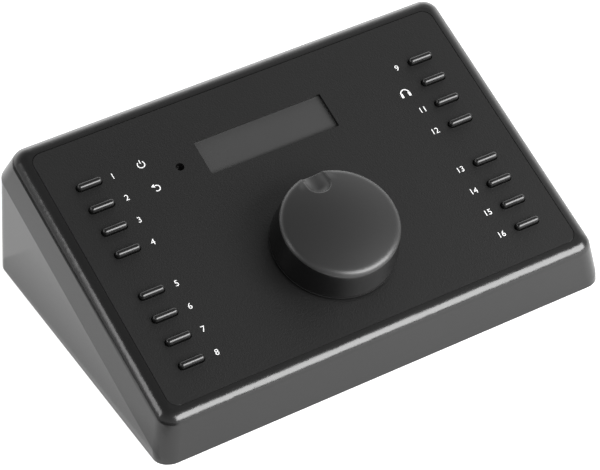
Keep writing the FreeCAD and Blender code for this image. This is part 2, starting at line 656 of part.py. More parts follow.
def rear_panel():
    """The plate at the back, with a close hole for every socket."""
    x0, x1, z0, z1 = POCKET
    gap = PANEL_GAP
    y0, y1 = PANEL_LEDGE_Y, PANEL_LEDGE_Y + PANEL_THICKNESS
    panel = box(x0 + gap, x1 - gap, y0, y1, z0 + gap, z1 - gap)
    upright = [edge for edge in panel.Edges if edge.BoundBox.YLength > PANEL_THICKNESS / 2]
    panel = panel.makeFillet(1.0, upright)
    tools = [rod_back(x, z, 50, 70, THROUGH_HOLE_RADIUS) for x, z in PANEL_SCREWS]
    tools.append(rod_back(DC_INLET_X, ROW_Z, 50, 70, 4.2))
    tools.append(usb_slug(0.25, 50, 70))
    board_top = MAIN_BOARD_BOTTOM + BOARD_THICKNESS
    for x in (NETWORK_X, REMOTE_X):
        half = MODULAR_WIDTH / 2 + 0.2
        tools.append(box(x - half, x + half, 50, 70, board_top - 0.2, board_top + MODULAR_HEIGHT + 0.2))
    half = DIGITAL_SIDE / 2 + 0.2
    tools.append(box(DIGITAL_X - half, DIGITAL_X + half, 50, 70, ROW_Z - half, ROW_Z + half))
    for x in JACKS.values():
        tools.append(rod_back(x, ROW_Z, 50, 70, JACK_BUSHING_RADIUS + 0.15))
    return cut_all(panel, tools)


def rear_panel_screws():
    """Four screws that hold the rear panel to its frame."""
    screws = []
    face = PANEL_LEDGE_Y + PANEL_THICKNESS
    for x, z in PANEL_SCREWS:
        screw = screw_down(0, 0, 0, 4.2)
        screw.rotate(FreeCAD.Vector(0, 0, 0), FreeCAD.Vector(1, 0, 0), -90)
        screw.translate(FreeCAD.Vector(x, face, z))
        screws.append(screw)
    return Part.makeCompound(screws)


def dc_inlet():
    """The round power inlet with its centre pin."""
    board_top = MAIN_BOARD_BOTTOM + BOARD_THICKNESS
    face = PANEL_LEDGE_Y + PANEL_THICKNESS
    case = box(DC_INLET_X - 4.5, DC_INLET_X + 4.5, 46.5, PANEL_LEDGE_Y - 0.1, board_top, ROW_Z + 4.7)
    case = case.fuse(rod_back(DC_INLET_X, ROW_Z, PANEL_LEDGE_Y - 0.2, face, 4.0))
    case = case.cut(rod_back(DC_INLET_X, ROW_Z, 51.0, face + 1, DC_MOUTH_RADIUS))
    pin = rod_back(DC_INLET_X, ROW_Z, 50.5, face - 1.0, DC_PIN_RADIUS)
    tip = [edge for edge in pin.Edges if edge.BoundBox.YMin > face - 1.01]
    return case.fuse(pin.makeFillet(0.4, tip[:1]))


def usb_slug(extra, y0, y1):
    """The full-round shell form of the small data socket, grown by extra."""
    length, width = USB_SHELL
    form = slug(0, 0, (length + 2 * extra, width + 2 * extra), 0, y1 - y0)
    form.rotate(FreeCAD.Vector(0, 0, 0), FreeCAD.Vector(1, 0, 0), -90)
    form.translate(FreeCAD.Vector(USB_X, y0, USB_Z))
    return form


def usb_socket():
    """The small data socket: a drawn shell with a tongue, on a foot."""
    board_top = MAIN_BOARD_BOTTOM + BOARD_THICKNESS
    face = PANEL_LEDGE_Y + PANEL_THICKNESS
    back = face - 8.0
    shell = usb_slug(0.0, back, face)
    shell = shell.cut(usb_slug(-USB_WALL, back + 1.2, face + 1))
    tongue = box(USB_X - 3.3, USB_X + 3.3, back + 1.0, face - 0.8, USB_Z - 0.35, USB_Z + 0.35)
    foot_block = box(USB_X - 3.8, USB_X + 3.8, back - 1.0, 55.6, board_top, USB_Z - 1.0)
    foot_block = foot_block.fuse(box(USB_X - 3.8, USB_X + 3.8, back - 1.0, back + 1.0, board_top, USB_Z + 1.0))
    cavity = usb_slug(-USB_WALL, back + 1.2, face + 1)
    return shell.fuse([tongue, foot_block.cut(cavity)])


def modular_socket(x):
    """An eight-way modular socket: mouth with a latch notch below and a row of springs."""
    board_top = MAIN_BOARD_BOTTOM + BOARD_THICKNESS
    face = PANEL_LEDGE_Y + PANEL_THICKNESS
    half = MODULAR_WIDTH / 2
    case = box(x - half, x + half, face - 21.0, face, board_top, board_top + MODULAR_HEIGHT)
    width, height, depth = MODULAR_MOUTH
    mouth_low = board_top + 3.6
    mouth = box(x - width / 2, x + width / 2, face - depth, face + 1, mouth_low, mouth_low + height)
    latch_width, latch_height = MODULAR_LATCH
    latch = box(x - latch_width / 2, x + latch_width / 2, face - depth, face + 1,
                mouth_low - latch_height, mouth_low + 1)
    return case.cut(mouth).cut(latch)


def digital_socket():
    """The optical socket: a square mouth with a round light port at its end."""
    board_top = MAIN_BOARD_BOTTOM + BOARD_THICKNESS
    face = PANEL_LEDGE_Y + PANEL_THICKNESS
    half = DIGITAL_SIDE / 2
    x = DIGITAL_X
    case = box(x - half, x + half, face - 14.0, face, ROW_Z - half, ROW_Z + half)
    stand = box(x - half, x + half, face - 14.0, PANEL_LEDGE_Y - 0.2, board_top, ROW_Z - half)
    width, height = DIGITAL_MOUTH
    mouth = box(x - width / 2, x + width / 2, face - 8.0, face + 1, ROW_Z - height / 2, ROW_Z + height / 2)
    upright = [edge for edge in mouth.Edges if edge.BoundBox.YLength > 5]
    mouth = mouth.makeChamfer(1.0, upright)
    port = rod_back(x, ROW_Z, face - 11.0, face, 1.2)
    return case.fuse(stand).cut(mouth).cut(port)


def audio_jack(x):
    """A 6.3 mm jack: moulded body, threaded bushing and the plug's bore."""
    board_top = MAIN_BOARD_BOTTOM + BOARD_THICKNESS
    half = JACK_WIDTH / 2
    body = box(x - half, x + half, JACK_BACK_Y, JACK_FRONT_Y, board_top, board_top + JACK_HEIGHT)
    bushing = rod_back(x, ROW_Z, JACK_FRONT_Y, JACK_BUSHING_END_Y, JACK_BUSHING_RADIUS)
    bore = rod_back(x, ROW_Z, JACK_BORE_END_Y, JACK_BUSHING_END_Y + 1, JACK_BORE_RADIUS)
    return body.fuse(bushing).cut(bore)


def jack_nuts():
    """Five hexagon nuts on the jacks' bushings."""
    face = PANEL_LEDGE_Y + PANEL_THICKNESS
    nuts = []
    for x in JACKS.values():
        nut = hexagon(JACK_NUT_FLATS, JACK_NUT_THICKNESS)
        nut.rotate(FreeCAD.Vector(0, 0, 0), FreeCAD.Vector(1, 0, 0), -90)
        nut.translate(FreeCAD.Vector(x, face, ROW_Z))
        nuts.append(nut.cut(rod_back(x, ROW_Z, face - 1, face + 5, JACK_BUSHING_RADIUS + 0.02)))
    return Part.makeCompound(nuts)


def control_header():
    """The header under the control board, in the deck's frame."""
    top = CONTROL_BOARD_TOP - BOARD_THICKNESS
    return box(-HEADER_WIDTH / 2, HEADER_WIDTH / 2, CONTROL_HEADER_Y - 2.5, CONTROL_HEADER_Y + 2.5,
               top - HEADER_DEPTH, top)


def cable_path():
    """Start, corner and end of the cable's middle line, in the Y-Z plane of the housing."""
    slope = math.radians(TILT)
    depth = CONTROL_BOARD_TOP - BOARD_THICKNESS - HEADER_DEPTH
    start_y = DECK_Y + CONTROL_HEADER_Y * math.cos(slope) - depth * math.sin(slope)
    start_z = DECK_Z + CONTROL_HEADER_Y * math.sin(slope) + depth * math.cos(slope)
    end_z = MAIN_BOARD_BOTTOM + BOARD_THICKNESS + 2.8
    corner_y = start_y + (start_z - end_z) * math.tan(slope)
    end_y = MAIN_BOARD[2] + 2.0
    return (start_y, start_z), (corner_y, end_z), (end_y, end_z)


def ribbon_headers():
    """The two headers that the ribbon cable plugs into."""
    end_y, end_z = cable_path()[2]
    board_top = MAIN_BOARD_BOTTOM + BOARD_THICKNESS
    lower = box(-HEADER_WIDTH / 2, HEADER_WIDTH / 2, end_y, end_y + 6.0, board_top, end_z + 2.8)
    return Part.makeCompound([on_deck(control_header()), lower])


def ribbon_cable():
    """A flat cable from the control board down to the main board: two runs and one bend."""
    (start_y, start_z), (corner_y, corner_z), (end_y, end_z) = cable_path()
    turn = 90.0 - TILT
    cut_back = CABLE_BEND_RADIUS * math.tan(math.radians(turn / 2))
    half_width, half = CABLE_WIDTH / 2, CABLE_THICKNESS / 2
    flat_start = corner_y + cut_back
    flat_run = box(-half_width, half_width, flat_start, end_y, corner_z - half, corner_z + half)
    section = Part.Face(Part.makePolygon([
        FreeCAD.Vector(-half_width, flat_start, corner_z - half),
        FreeCAD.Vector(half_width, flat_start, corner_z - half),
        FreeCAD.Vector(half_width, flat_start, corner_z + half),
        FreeCAD.Vector(-half_width, flat_start, corner_z + half),
        FreeCAD.Vector(-half_width, flat_start, corner_z - half)]))
    pivot = FreeCAD.Vector(0, flat_start, corner_z + CABLE_BEND_RADIUS)
    bend = section.revolve(pivot, FreeCAD.Vector(1, 0, 0), -turn)
    bent_section = section.copy()
    bent_section.rotate(pivot, FreeCAD.Vector(1, 0, 0), -turn)
    length = math.hypot(corner_y - start_y, corner_z - start_z) - cut_back
    slope = math.radians(TILT)
    upper_run = bent_section.extrude(FreeCAD.Vector(0, -math.sin(slope), math.cos(slope)) * length)
    return flat_run.fuse([bend, upper_run])


def build():
    """Every piece of the controller, by its name."""
    pieces = {
        "top_housing": top_housing(),
        "fascia_panel": fascia_panel(),
        "display_window": display_window(),
        "display_gasket": display_gasket(),
        "display_module": display_module(),
        "display_bracket": display_bracket(),
        "light_pipe": light_pipe(),
        "light_sensor": light_sensor(),
        "control_board": control_board(),
        "control_board_screws": control_board_screws(),
        "tactile_switches": tactile_switches(),
        "encoder_body": encoder_body(),
        "encoder_washer": encoder_washer(),
        "encoder_nut": encoder_nut(),
        "encoder_shaft": encoder_shaft(),
        "encoder_plunger": encoder_plunger(),
        "knob": knob(),
        "base_plate": base_plate(),
        "base_plate_screws": base_plate_screws(),
        "main_board": main_board(),
        "main_board_screws": main_board_screws(),
        "main_board_chips": main_board_chips(),
        "rear_panel": rear_panel(),
        "rear_panel_screws": rear_panel_screws(),
        "dc_inlet": dc_inlet(),
        "usb_socket": usb_socket(),
        "network_socket": modular_socket(NETWORK_X),
        "remote_socket": modular_socket(REMOTE_X),
        "digital_socket": digital_socket(),
        "jack_nuts": jack_nuts(),
        "ribbon_headers": ribbon_headers(),
        "ribbon_cable": ribbon_cable(),
    }
    for name, x in JACKS.items():
        pieces[name] = audio_jack(x)
    for name, (x, y) in FEET.items():
        pieces[f"foot_{name}"] = foot(x, y)
    for name, x, y in key_places():
        pieces[name] = key(x, y)
    return pieces


os.makedirs("parts", exist_ok=True)
for node, solid in build().items():
    if not solid.isValid():
        print("not valid:", node)
    solid.exportStep(f"parts/{node}.step")
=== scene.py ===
import bpy
import math
from mathutils import Matrix, Vector


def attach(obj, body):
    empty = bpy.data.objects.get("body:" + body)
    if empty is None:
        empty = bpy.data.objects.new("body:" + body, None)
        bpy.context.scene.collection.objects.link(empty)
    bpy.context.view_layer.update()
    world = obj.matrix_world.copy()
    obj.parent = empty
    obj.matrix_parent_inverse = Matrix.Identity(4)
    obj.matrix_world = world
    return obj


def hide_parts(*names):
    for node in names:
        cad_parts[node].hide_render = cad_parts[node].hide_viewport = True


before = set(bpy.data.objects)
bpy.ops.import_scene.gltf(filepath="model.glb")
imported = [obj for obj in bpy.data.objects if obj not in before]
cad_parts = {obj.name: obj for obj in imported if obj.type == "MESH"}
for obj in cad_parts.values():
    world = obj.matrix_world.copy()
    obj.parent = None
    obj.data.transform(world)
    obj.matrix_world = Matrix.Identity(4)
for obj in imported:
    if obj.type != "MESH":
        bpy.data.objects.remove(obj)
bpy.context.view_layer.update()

# ---------------------------------------------------------------------------------------------
# Camera: a long lens over the user's left shoulder, looking down on the sloping deck.
# It stands about a metre off, so the wedge shows hardly any perspective.
camera_data = bpy.data.cameras.new("camera")
camera_data.sensor_width = 36.0
camera_data.lens = 166.14
camera_data.clip_end = 20.0
camera = bpy.data.objects.new("camera", camera_data)
camera.location = (-0.40668, -0.70002, 0.74314)
camera.rotation_euler = (math.radians(48.247), math.radians(0.498), math.radians(-30.622))
bpy.context.scene.collection.objects.link(camera)
bpy.context.scene.camera = camera
bpy.context.scene.view_settings.view_transform = "Standard"

# ---------------------------------------------------------------------------------------------
# Studio: a white table, walls that glow most near the horizon behind the part, and two soft
# boxes, wide in front and small at the left. A black cloth and a grey card beside the left
# flank are seen in reflections only. The card glows, and its glow is painted darkest at the
# flank's foot as a painted contact shadow of the table there.
TABLE_SIDE = 8.0
CLOTH_OUTLINE = ((-0.20, 0.60), (-0.20, 0.0), (-0.135, -0.085), (-0.02, -0.20),
                 (-0.30, -0.60), (-0.80, -0.60), (-0.80, 0.60))
CLOTH_HEIGHT, CARD_HEIGHT = 0.001, 0.0012
CARD_NEAR, CARD_FAR = -0.1012, -0.1155
CARD_FRONT, CARD_BACK = -0.066, 0.068
ROOM_GLOW, WALL_GLOW, UPPER_RIGHT_GLOW = 0.27, 3.3, 0.18


def new_material(name):
    """A node material with its tree and its surface shader."""
    material = bpy.data.materials.new(name)
    material.use_nodes = True
    tree = material.node_tree
    return material, tree, tree.nodes["Principled BSDF"]


def axes_of(tree, vector):
    """The three parts of a vector."""
    split = tree.nodes.new("ShaderNodeSeparateXYZ")
    tree.links.new(vector, split.inputs["Vector"])
    return split.outputs["X"], split.outputs["Y"], split.outputs["Z"]


def calculated(tree, operation, first, second=0.0):
    """One Math node; each input is a number or a socket."""
    node = tree.nodes.new("ShaderNodeMath")
    node.operation = operation
    for socket, value in zip(node.inputs, (first, second)):
        if isinstance(value, float):
            socket.default_value = value
        else:
            tree.links.new(value, socket)
    return node.outputs["Value"]


def ranged(tree, value, low, high, to_low, to_high, interpolation="LINEAR"):
    """The value carried from one range to another and held at its ends."""
    node = tree.nodes.new("ShaderNodeMapRange")
    node.interpolation_type = interpolation
    for socket, amount in (("From Min", low), ("From Max", high), ("To Min", to_low), ("To Max", to_high)):
        node.inputs[socket].default_value = amount
    tree.links.new(value, node.inputs["Value"])
    return node.outputs["Result"]


def unseen_sheet(name, outline, height):
    """A flat sheet over the table that the camera doesn't see; gives its tree and shader."""
    mesh = bpy.data.meshes.new(name)
    mesh.from_pydata([(x, y, height) for x, y in outline], [], [range(len(outline))])
    sheet = bpy.data.objects.new(name, mesh)
    bpy.context.scene.collection.objects.link(sheet)
    material, tree, shader = new_material(name)
    mesh.materials.append(material)
    sheet.visible_camera = False
    return tree, shader


def soft_box(name, place, aim, size, power):
    """A rectangular soft light that looks at a point and isn't seen itself."""
    data = bpy.data.lights.new(name, "AREA")
    data.shape = "RECTANGLE"
    data.size, data.size_y = size
    data.energy = power
    light = bpy.data.objects.new(name, data)
    light.location = place
    light.rotation_euler = (Vector(aim) - Vector(place)).to_track_quat("-Z", "Y").to_euler()
    light.visible_camera = False
    bpy.context.scene.collection.objects.link(light)


bpy.ops.object.select_all(action="DESELECT")
bpy.ops.mesh.primitive_plane_add(size=TABLE_SIDE, location=(0, 0, 0))
table = bpy.context.object
table.name = "white_table"
material, tree, shader = new_material("white_table_paper")
paper = tree.nodes.new("ShaderNodeTexNoise")
paper.inputs["Scale"].default_value = 3.0
paper_tone = tree.nodes.new("ShaderNodeValToRGB")
paper_tone.color_ramp.elements[0].color = (0.50, 0.50, 0.50, 1)
paper_tone.color_ramp.elements[1].color = (0.54, 0.54, 0.54, 1)
tree.links.new(paper.outputs["Fac"], paper_tone.inputs["Fac"])
tree.links.new(paper_tone.outputs["Color"], shader.inputs["Base Color"])
shader.inputs["Roughness"].default_value = 0.9
shader.inputs["Emission Color"].default_value = (1, 1, 1, 1)
shader.inputs["Emission Strength"].default_value = 0.93
table.data.materials.append(material)

tree, shader = unseen_sheet("black_cloth", CLOTH_OUTLINE, CLOTH_HEIGHT)
shader.inputs["Base Color"].default_value = (0.02, 0.02, 0.02, 1)

tree, shader = unseen_sheet("painted_shadow_card", ((CARD_NEAR, CARD_BACK), (CARD_NEAR, CARD_FRONT),
                                          (CARD_FAR, CARD_FRONT), (CARD_FAR, CARD_BACK)), CARD_HEIGHT)
x = axes_of(tree, tree.nodes.new("ShaderNodeTexCoord").outputs["Object"])[0]
# Painted contact shadow: the card's glow is painted down from 1.10 at its far edge to 0.70 at the flank's
# foot.
tree.links.new(ranged(tree, x, CARD_FAR, CARD_NEAR, 1.10, 0.70), shader.inputs["Emission Strength"])
shader.inputs["Base Color"].default_value = (0.2, 0.2, 0.2, 1)
shader.inputs["Emission Color"].default_value = (1, 1, 1, 1)

soft_box("front_box", place=(0.40, -0.82, 0.437), aim=(0, 0, 0.03), size=(1.04, 0.61), power=26.4)
soft_box("left_box", place=(-1.33, 0.215, 0.73), aim=(-0.09, 0, 0.04), size=(0.25, 0.78), power=3.8)

world = bpy.data.worlds.new("studio")
world.use_nodes = True
tree = world.node_tree
x, y, z = axes_of(tree, tree.nodes.new("ShaderNodeTexCoord").outputs["Generated"])
height_squared = calculated(tree, "MULTIPLY", z, z)
level = calculated(tree, "MAXIMUM", calculated(tree, "SUBTRACT", 1.0, height_squared), 0.0)
near_horizon = calculated(tree, "MULTIPLY", level, level)
towards_back = calculated(tree, "ADD", calculated(tree, "MULTIPLY", x, 0.30),
                          calculated(tree, "MULTIPLY", y, 0.95))
behind = ranged(tree, towards_back, 0.05, 1.0, 0.15, 1.0)
walls = calculated(tree, "MULTIPLY", calculated(tree, "MULTIPLY", near_horizon, behind), WALL_GLOW)
right = ranged(tree, x, 0.28, 0.50, 0.0, UPPER_RIGHT_GLOW, "SMOOTHSTEP")
upper = ranged(tree, z, 0.45, 0.75, 0.0, 1.0)
glow = calculated(tree, "ADD", walls, calculated(tree, "MULTIPLY", right, upper))
background = tree.nodes["Background"]
background.inputs["Color"].default_value = (1, 1, 1, 1)
tree.links.new(calculated(tree, "ADD", glow, ROOM_GLOW), background.inputs["Strength"])
bpy.context.scene.world = world

# ---------------------------------------------------------------------------------------------
# Housing: one satin black ABS moulding, with the rolled rim round the deck and the crease along
# the flanks. Its surface comes straight from the mould: a very fine grain under a soft sheen.


def surface_grain_group():
    """Fine moulded or lacquered grain as a height, and slow patches for smears and handling."""
    group = bpy.data.node_groups.new("surface_grain", "ShaderNodeTree")
    for name, default in (("Grain Scale", 2500.0), ("Patch Scale", 30.0)):
        socket = group.interface.new_socket(name=name, in_out="INPUT", socket_type="NodeSocketFloat")
        socket.default_value = default
    for name in ("Height", "Patch"):
        group.interface.new_socket(name=name, in_out="OUTPUT", socket_type="NodeSocketFloat")
    entry = group.nodes.new("NodeGroupInput")
    leave = group.nodes.new("NodeGroupOutput")
    place = group.nodes.new("ShaderNodeTexCoord")
    for scale, detail, roughness, result in (("Grain Scale", 3.0, 0.55, "Height"),
                                             ("Patch Scale", 4.0, 0.6, "Patch")):
        noise = group.nodes.new("ShaderNodeTexNoise")
        noise.inputs["Detail"].default_value = detail
        noise.inputs["Roughness"].default_value = roughness
        group.links.new(place.outputs["Object"], noise.inputs["Vector"])
        group.links.new(entry.outputs[scale], noise.inputs["Scale"])
        group.links.new(noise.outputs["Fac"], leave.inputs[result])
    return group


surface_grain = surface_grain_group()


def grained(name, dark, light, smooth, rough, grain, patch, bump):
    """A finish whose colour and roughness drift between two values, with the grain as a bump."""
    material, tree, shader = new_material(name)
    source = tree.nodes.new("ShaderNodeGroup")
    source.node_tree = surface_grain
    source.inputs["Grain Scale"].default_value = grain
    source.inputs["Patch Scale"].default_value = patch
    tone = tree.nodes.new("ShaderNodeMix")
    tone.data_type = "RGBA"
    tone.inputs["A"].default_value = (*dark, 1)
    tone.inputs["B"].default_value = (*light, 1)
    relief = tree.nodes.new("ShaderNodeBump")
    relief.name = "relief"
    relief.inputs["Strength"].default_value = bump
    relief.inputs["Distance"].default_value = 0.0002
    tree.links.new(source.outputs["Patch"], tone.inputs["Factor"])
    tree.links.new(source.outputs["Height"], relief.inputs["Height"])
    tree.links.new(tone.outputs["Result"], shader.inputs["Base Color"])
    tree.links.new(ranged(tree, source.outputs["Patch"], 0.0, 1.0, smooth, rough), shader.inputs["Roughness"])
    tree.links.new(relief.outputs["Normal"], shader.inputs["Normal"])
    return material


def grey(value):
    """A neutral colour."""
    return (value, value, value)


def finish(material, *node_names):
    """Give CAD pieces their finish."""
    for node_name in node_names:
        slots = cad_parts[node_name].data.materials
        slots.clear()
        slots.append(material)


finish(grained("satin_black_housing", grey(0.004), grey(0.006), smooth=0.19, rough=0.23,
               grain=2600.0, patch=22.0, bump=0.03), "top_housing")

# ---------------------------------------------------------------------------------------------
# Fascia: a flat plate let into the deck, lacquered black with a fine sandy texture that breaks
# up reflections, so it looks duller than the moulding around it. Its chamfered edges are matt.
DECK_PLACE = (0, -0.0088, 0.0429)
DECK_SLOPE = math.radians(20)
FASCIA_HALF_WIDTH = 0.0900
FASCIA_FRONT, FASCIA_BACK = -0.05565, 0.06195
FASCIA_CHAMFER = 0.00016


def deck_coordinates(tree):
    """Object coordinates turned into the deck's own frame, for patterns that lie square on it."""
    place = tree.nodes.new("ShaderNodeTexCoord")
    turn = tree.nodes.new("ShaderNodeMapping")
    turn.vector_type = "TEXTURE"
    turn.inputs["Location"].default_value = DECK_PLACE
    turn.inputs["Rotation"].default_value = (DECK_SLOPE, 0, 0)
    tree.links.new(place.outputs["Object"], turn.inputs["Vector"])
    return turn.outputs["Vector"]


def between(tree, value, low, high, soft):
    """A mask that is one where the value lies between two limits, with soft ends outside them."""
    centre, half = (low + high) / 2, (high - low) / 2
    distance = calculated(tree, "ABSOLUTE", calculated(tree, "SUBTRACT", value, centre))
    return ranged(tree, distance, half, half + soft, 1.0, 0.0)


def both(tree, first, second):
    """The product of two masks."""
    return calculated(tree, "MULTIPLY", first, second)


def opposite(tree, mask):
    """A mask that is one where the other is zero."""
    return between(tree, mask, -0.5, 0.5, 0.01)


def overlay_gloss(material, mask, roughness):
    """Give a finish another roughness where the mask is one."""
    tree = material.node_tree
    socket = tree.nodes["Principled BSDF"].inputs["Roughness"]
    mix = tree.nodes.new("ShaderNodeMix")
    mix.inputs["B"].default_value = roughness
    tree.links.new(mask, mix.inputs["Factor"])
    tree.links.new(socket.links[0].from_socket, mix.inputs["A"])
    tree.links.new(mix.outputs["Result"], socket)


lacquer = grained("textured_lacquer", grey(0.0005), grey(0.001), smooth=0.42, rough=0.46,
                  grain=1500.0, patch=18.0, bump=0.45)
tree = lacquer.node_tree
u, v = axes_of(tree, deck_coordinates(tree))[:2]
half_flat = FASCIA_HALF_WIDTH - FASCIA_CHAMFER
flat_top = both(tree, between(tree, u, -half_flat, half_flat, 0.00001),
                between(tree, v, FASCIA_FRONT + FASCIA_CHAMFER, FASCIA_BACK - FASCIA_CHAMFER, 0.00001))
overlay_gloss(lacquer, opposite(tree, flat_top), 1.0)
finish(lacquer, "fascia_panel")

# ---------------------------------------------------------------------------------------------
# Key marks: plain numbers beside the keys and three general signs (standby, return, headphones),
# pad-printed in light grey ink. The ink is a layer of a few hundredths on the lacquer.
DECK = Matrix.Translation(DECK_PLACE) @ Matrix.Rotation(DECK_SLOPE, 4, "X")
KEY_ROWS = (0.04171, 0.03106, 0.02041, 0.00976, -0.00976, -0.02041, -0.03106, -0.04171)
HEADPHONES_ROW = 2
INK_DEPTH = 0.00002
FIGURE_HEIGHT = 0.0025
FONT_SIZE_FOR_HEIGHT = 1.4
MARK_LEFT, MARK_RIGHT = -0.0645, 0.0644
STROKE = 0.0004


def active():
    """The object that the last operator made."""
    return bpy.context.view_layer.objects.active


def only(obj):
    """Select one object and nothing else, and make it the active one."""
    bpy.ops.object.select_all(action="DESELECT")
    obj.select_set(True)
    bpy.context.view_layer.objects.active = obj


def pick_faces(obj, wanted):
    """Enter edit mode with just those faces selected whose centre and normal satisfy the test."""
    only(obj)
    bpy.ops.object.mode_set(mode="EDIT")
    bpy.ops.mesh.select_all(action="DESELECT")
    bpy.ops.object.mode_set(mode="OBJECT")
    for face in obj.data.polygons:
        face.select = wanted(face.center, face.normal)
    bpy.ops.object.mode_set(mode="EDIT")
    bpy.ops.mesh.select_mode(type="FACE")


def done():
    """Leave edit mode."""
    bpy.ops.object.mode_set(mode="OBJECT")


def join(name, pieces):
    """One object out of several."""
    bpy.ops.object.select_all(action="DESELECT")
    for piece in pieces:
        piece.select_set(True)
    bpy.context.view_layer.objects.active = pieces[0]
    if len(pieces) > 1:
        bpy.ops.object.join()
    joined = active()
    joined.name = name
    joined.data.name = name
    return joined


def with_modifier(obj, kind, **settings):
    """Add a modifier, set it and apply it."""
    modifier = obj.modifiers.new(kind.lower(), kind)
    for key, value in settings.items():
        setattr(modifier, key, value)
    only(obj)
    bpy.ops.object.modifier_apply(modifier=modifier.name)
    return obj


def belongs(obj, material, body):
    """Give a new piece its finish and the body it rides on."""
    obj.data.materials.clear()
    obj.data.materials.append(material)
    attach(obj, body)


def on_deck(u, v, w=0.0):
    """The matrix that sets a piece drawn flat down on the deck."""
    return DECK @ Matrix.Translation((u, v, w))


def figures(text, height, lean, place):
    """A plain number in ink: lean is -1 for a left edge at the place, 0 centred, 1 a right edge."""
    bpy.ops.object.select_all(action="DESELECT")
    bpy.ops.object.text_add()
    line = active()
    line.data.body = text
    line.data.size = height * FONT_SIZE_FOR_HEIGHT
    line.data.extrude = INK_DEPTH / 2
    bpy.ops.object.convert(target="MESH")
    line = active()
    xs = [vertex.co.x for vertex in line.data.vertices]
    ys = [vertex.co.y for vertex in line.data.vertices]
    grow = height / (max(ys) - min(ys))
    anchor = {-1: min(xs), 0: (min(xs) + max(xs)) / 2, 1: max(xs)}[lean]
    centre = Matrix.Translation((-anchor, -(min(ys) + max(ys)) / 2, INK_DEPTH / 2))
    line.data.transform(place @ Matrix.Scale(grow, 4) @ centre)
    return line


def ring_sign(radius, width, open_from, open_to):
    """A flat ring, open between two angles."""
    bpy.ops.object.select_all(action="DESELECT")
    bpy.ops.mesh.primitive_circle_add(vertices=72, radius=radius, fill_type="NGON")
    ring = active()
    pick_faces(ring, lambda centre, normal: True)
    bpy.ops.mesh.inset(thickness=width)
    bpy.ops.mesh.delete(type="FACE")
    done()
    pick_faces(ring, lambda centre, normal:
               (math.degrees(math.atan2(centre.y, centre.x)) - open_from) % 360 < open_to - open_from)
    bpy.ops.mesh.delete(type="FACE")
    done()
    return ring


def bar_sign(x, y, wide, high, corner=0.0):
    """A flat bar with its centre at x, y and its ends rounded by corner."""
    bpy.ops.object.select_all(action="DESELECT")
    bpy.ops.mesh.primitive_plane_add(size=1.0)
    bar = active()
    bar.data.transform(Matrix.Translation((x, y, 0)) @ Matrix.Diagonal((wide, high, 1, 1)))
    if corner:
        pick_faces(bar, lambda centre, normal: True)
        bpy.ops.mesh.bevel(offset=corner, segments=4, affect="VERTICES")
        done()
    return bar


def arrow_head(x, y, radius):
    """A flat triangle that points to the left."""
    bpy.ops.object.select_all(action="DESELECT")
    bpy.ops.mesh.primitive_circle_add(vertices=3, radius=radius, fill_type="NGON")
    head = active()
    head.data.transform(Matrix.Translation((x, y, 0)) @ Matrix.Rotation(math.radians(90), 4, "Z"))
    return head


def inked(name, pieces, place):
    """Flat pieces joined, given the thickness of ink and set down in their place."""
    sign = join(name, pieces)
    with_modifier(sign, "SOLIDIFY", thickness=INK_DEPTH, offset=1.0)
    sign.data.transform(place)
    return sign


def headphones_sign(name, place):
    """A headband with a cup at each end."""
    cups = [bar_sign(x, -0.0006, 0.0010, 0.0021, 0.0003) for x in (-0.00165, 0.00165)]
    return inked(name, [ring_sign(0.00205, 0.00045, 185, 355)] + cups, place)


marks = []
for row, v in enumerate(KEY_ROWS, 1):
    marks.append(figures(str(row), FIGURE_HEIGHT, -1, on_deck(MARK_LEFT, v)))
    if row != HEADPHONES_ROW:
        marks.append(figures(str(row + len(KEY_ROWS)), FIGURE_HEIGHT, 1, on_deck(MARK_RIGHT, v)))
marks.append(inked("standby", [ring_sign(0.00165, STROKE, 52, 128),
                               bar_sign(0, 0.00125, STROKE, 0.0017, 0.0001)], on_deck(-0.0519, 0.0420)))
marks.append(inked("turn_back", [ring_sign(0.00145, STROKE, 105, 225),
                                 arrow_head(-0.0010, 0.00125, 0.00095)], on_deck(-0.0511, 0.0302)))
marks.append(headphones_sign("headphones", on_deck(0.0606, 0.0298)))
key_marks = join("key_marks", marks)
ink = grained("light_grey_ink", grey(0.60), grey(0.68), smooth=0.45, rough=0.60,
              grain=9000.0, patch=400.0, bump=0.15)
belongs(key_marks, ink, "housing")

# ---------------------------------------------------------------------------------------------
# Display: a smoked acrylic pane with a matt anti-glare face lies in the fascia's opening. Behind
# it a foam frame, the unlit display glass with its dot field, and the moulded bracket under it.
DOT_FIELD_HALF_WIDTH = 0.0265
DOT_FIELD_FRONT, DOT_FIELD_BACK = 0.0285, 0.0415
DOT_PITCH = 0.0004


def overlay_tone(material, mask, colour):
    """Lay a second colour over a finish where the mask is one."""
    tree = material.node_tree
    socket = tree.nodes["Principled BSDF"].inputs["Base Color"]
    mix = tree.nodes.new("ShaderNodeMix")
    mix.data_type = "RGBA"
    mix.inputs["B"].default_value = (*colour, 1)
    tree.links.new(mask, mix.inputs["Factor"])
    tree.links.new(socket.links[0].from_socket, mix.inputs["A"])
    tree.links.new(mix.outputs["Result"], socket)


def waves(tree, vector, axis, pitch):
    """A run of ridges along one axis, one every pitch."""
    node = tree.nodes.new("ShaderNodeTexWave")
    node.bands_direction = axis
    node.inputs["Scale"].default_value = math.pi / 10 / pitch
    tree.links.new(vector, node.inputs["Vector"])
    return node.outputs["Fac"]


finish(grained("smoked_pane", grey(0.027), grey(0.031), smooth=0.36, rough=0.40,
               grain=3000.0, patch=15.0, bump=0.0), "display_window")

finish(grained("closed_cell_foam", grey(0.012), grey(0.022), smooth=0.85, rough=0.98,
               grain=1500.0, patch=60.0, bump=0.9), "display_gasket")

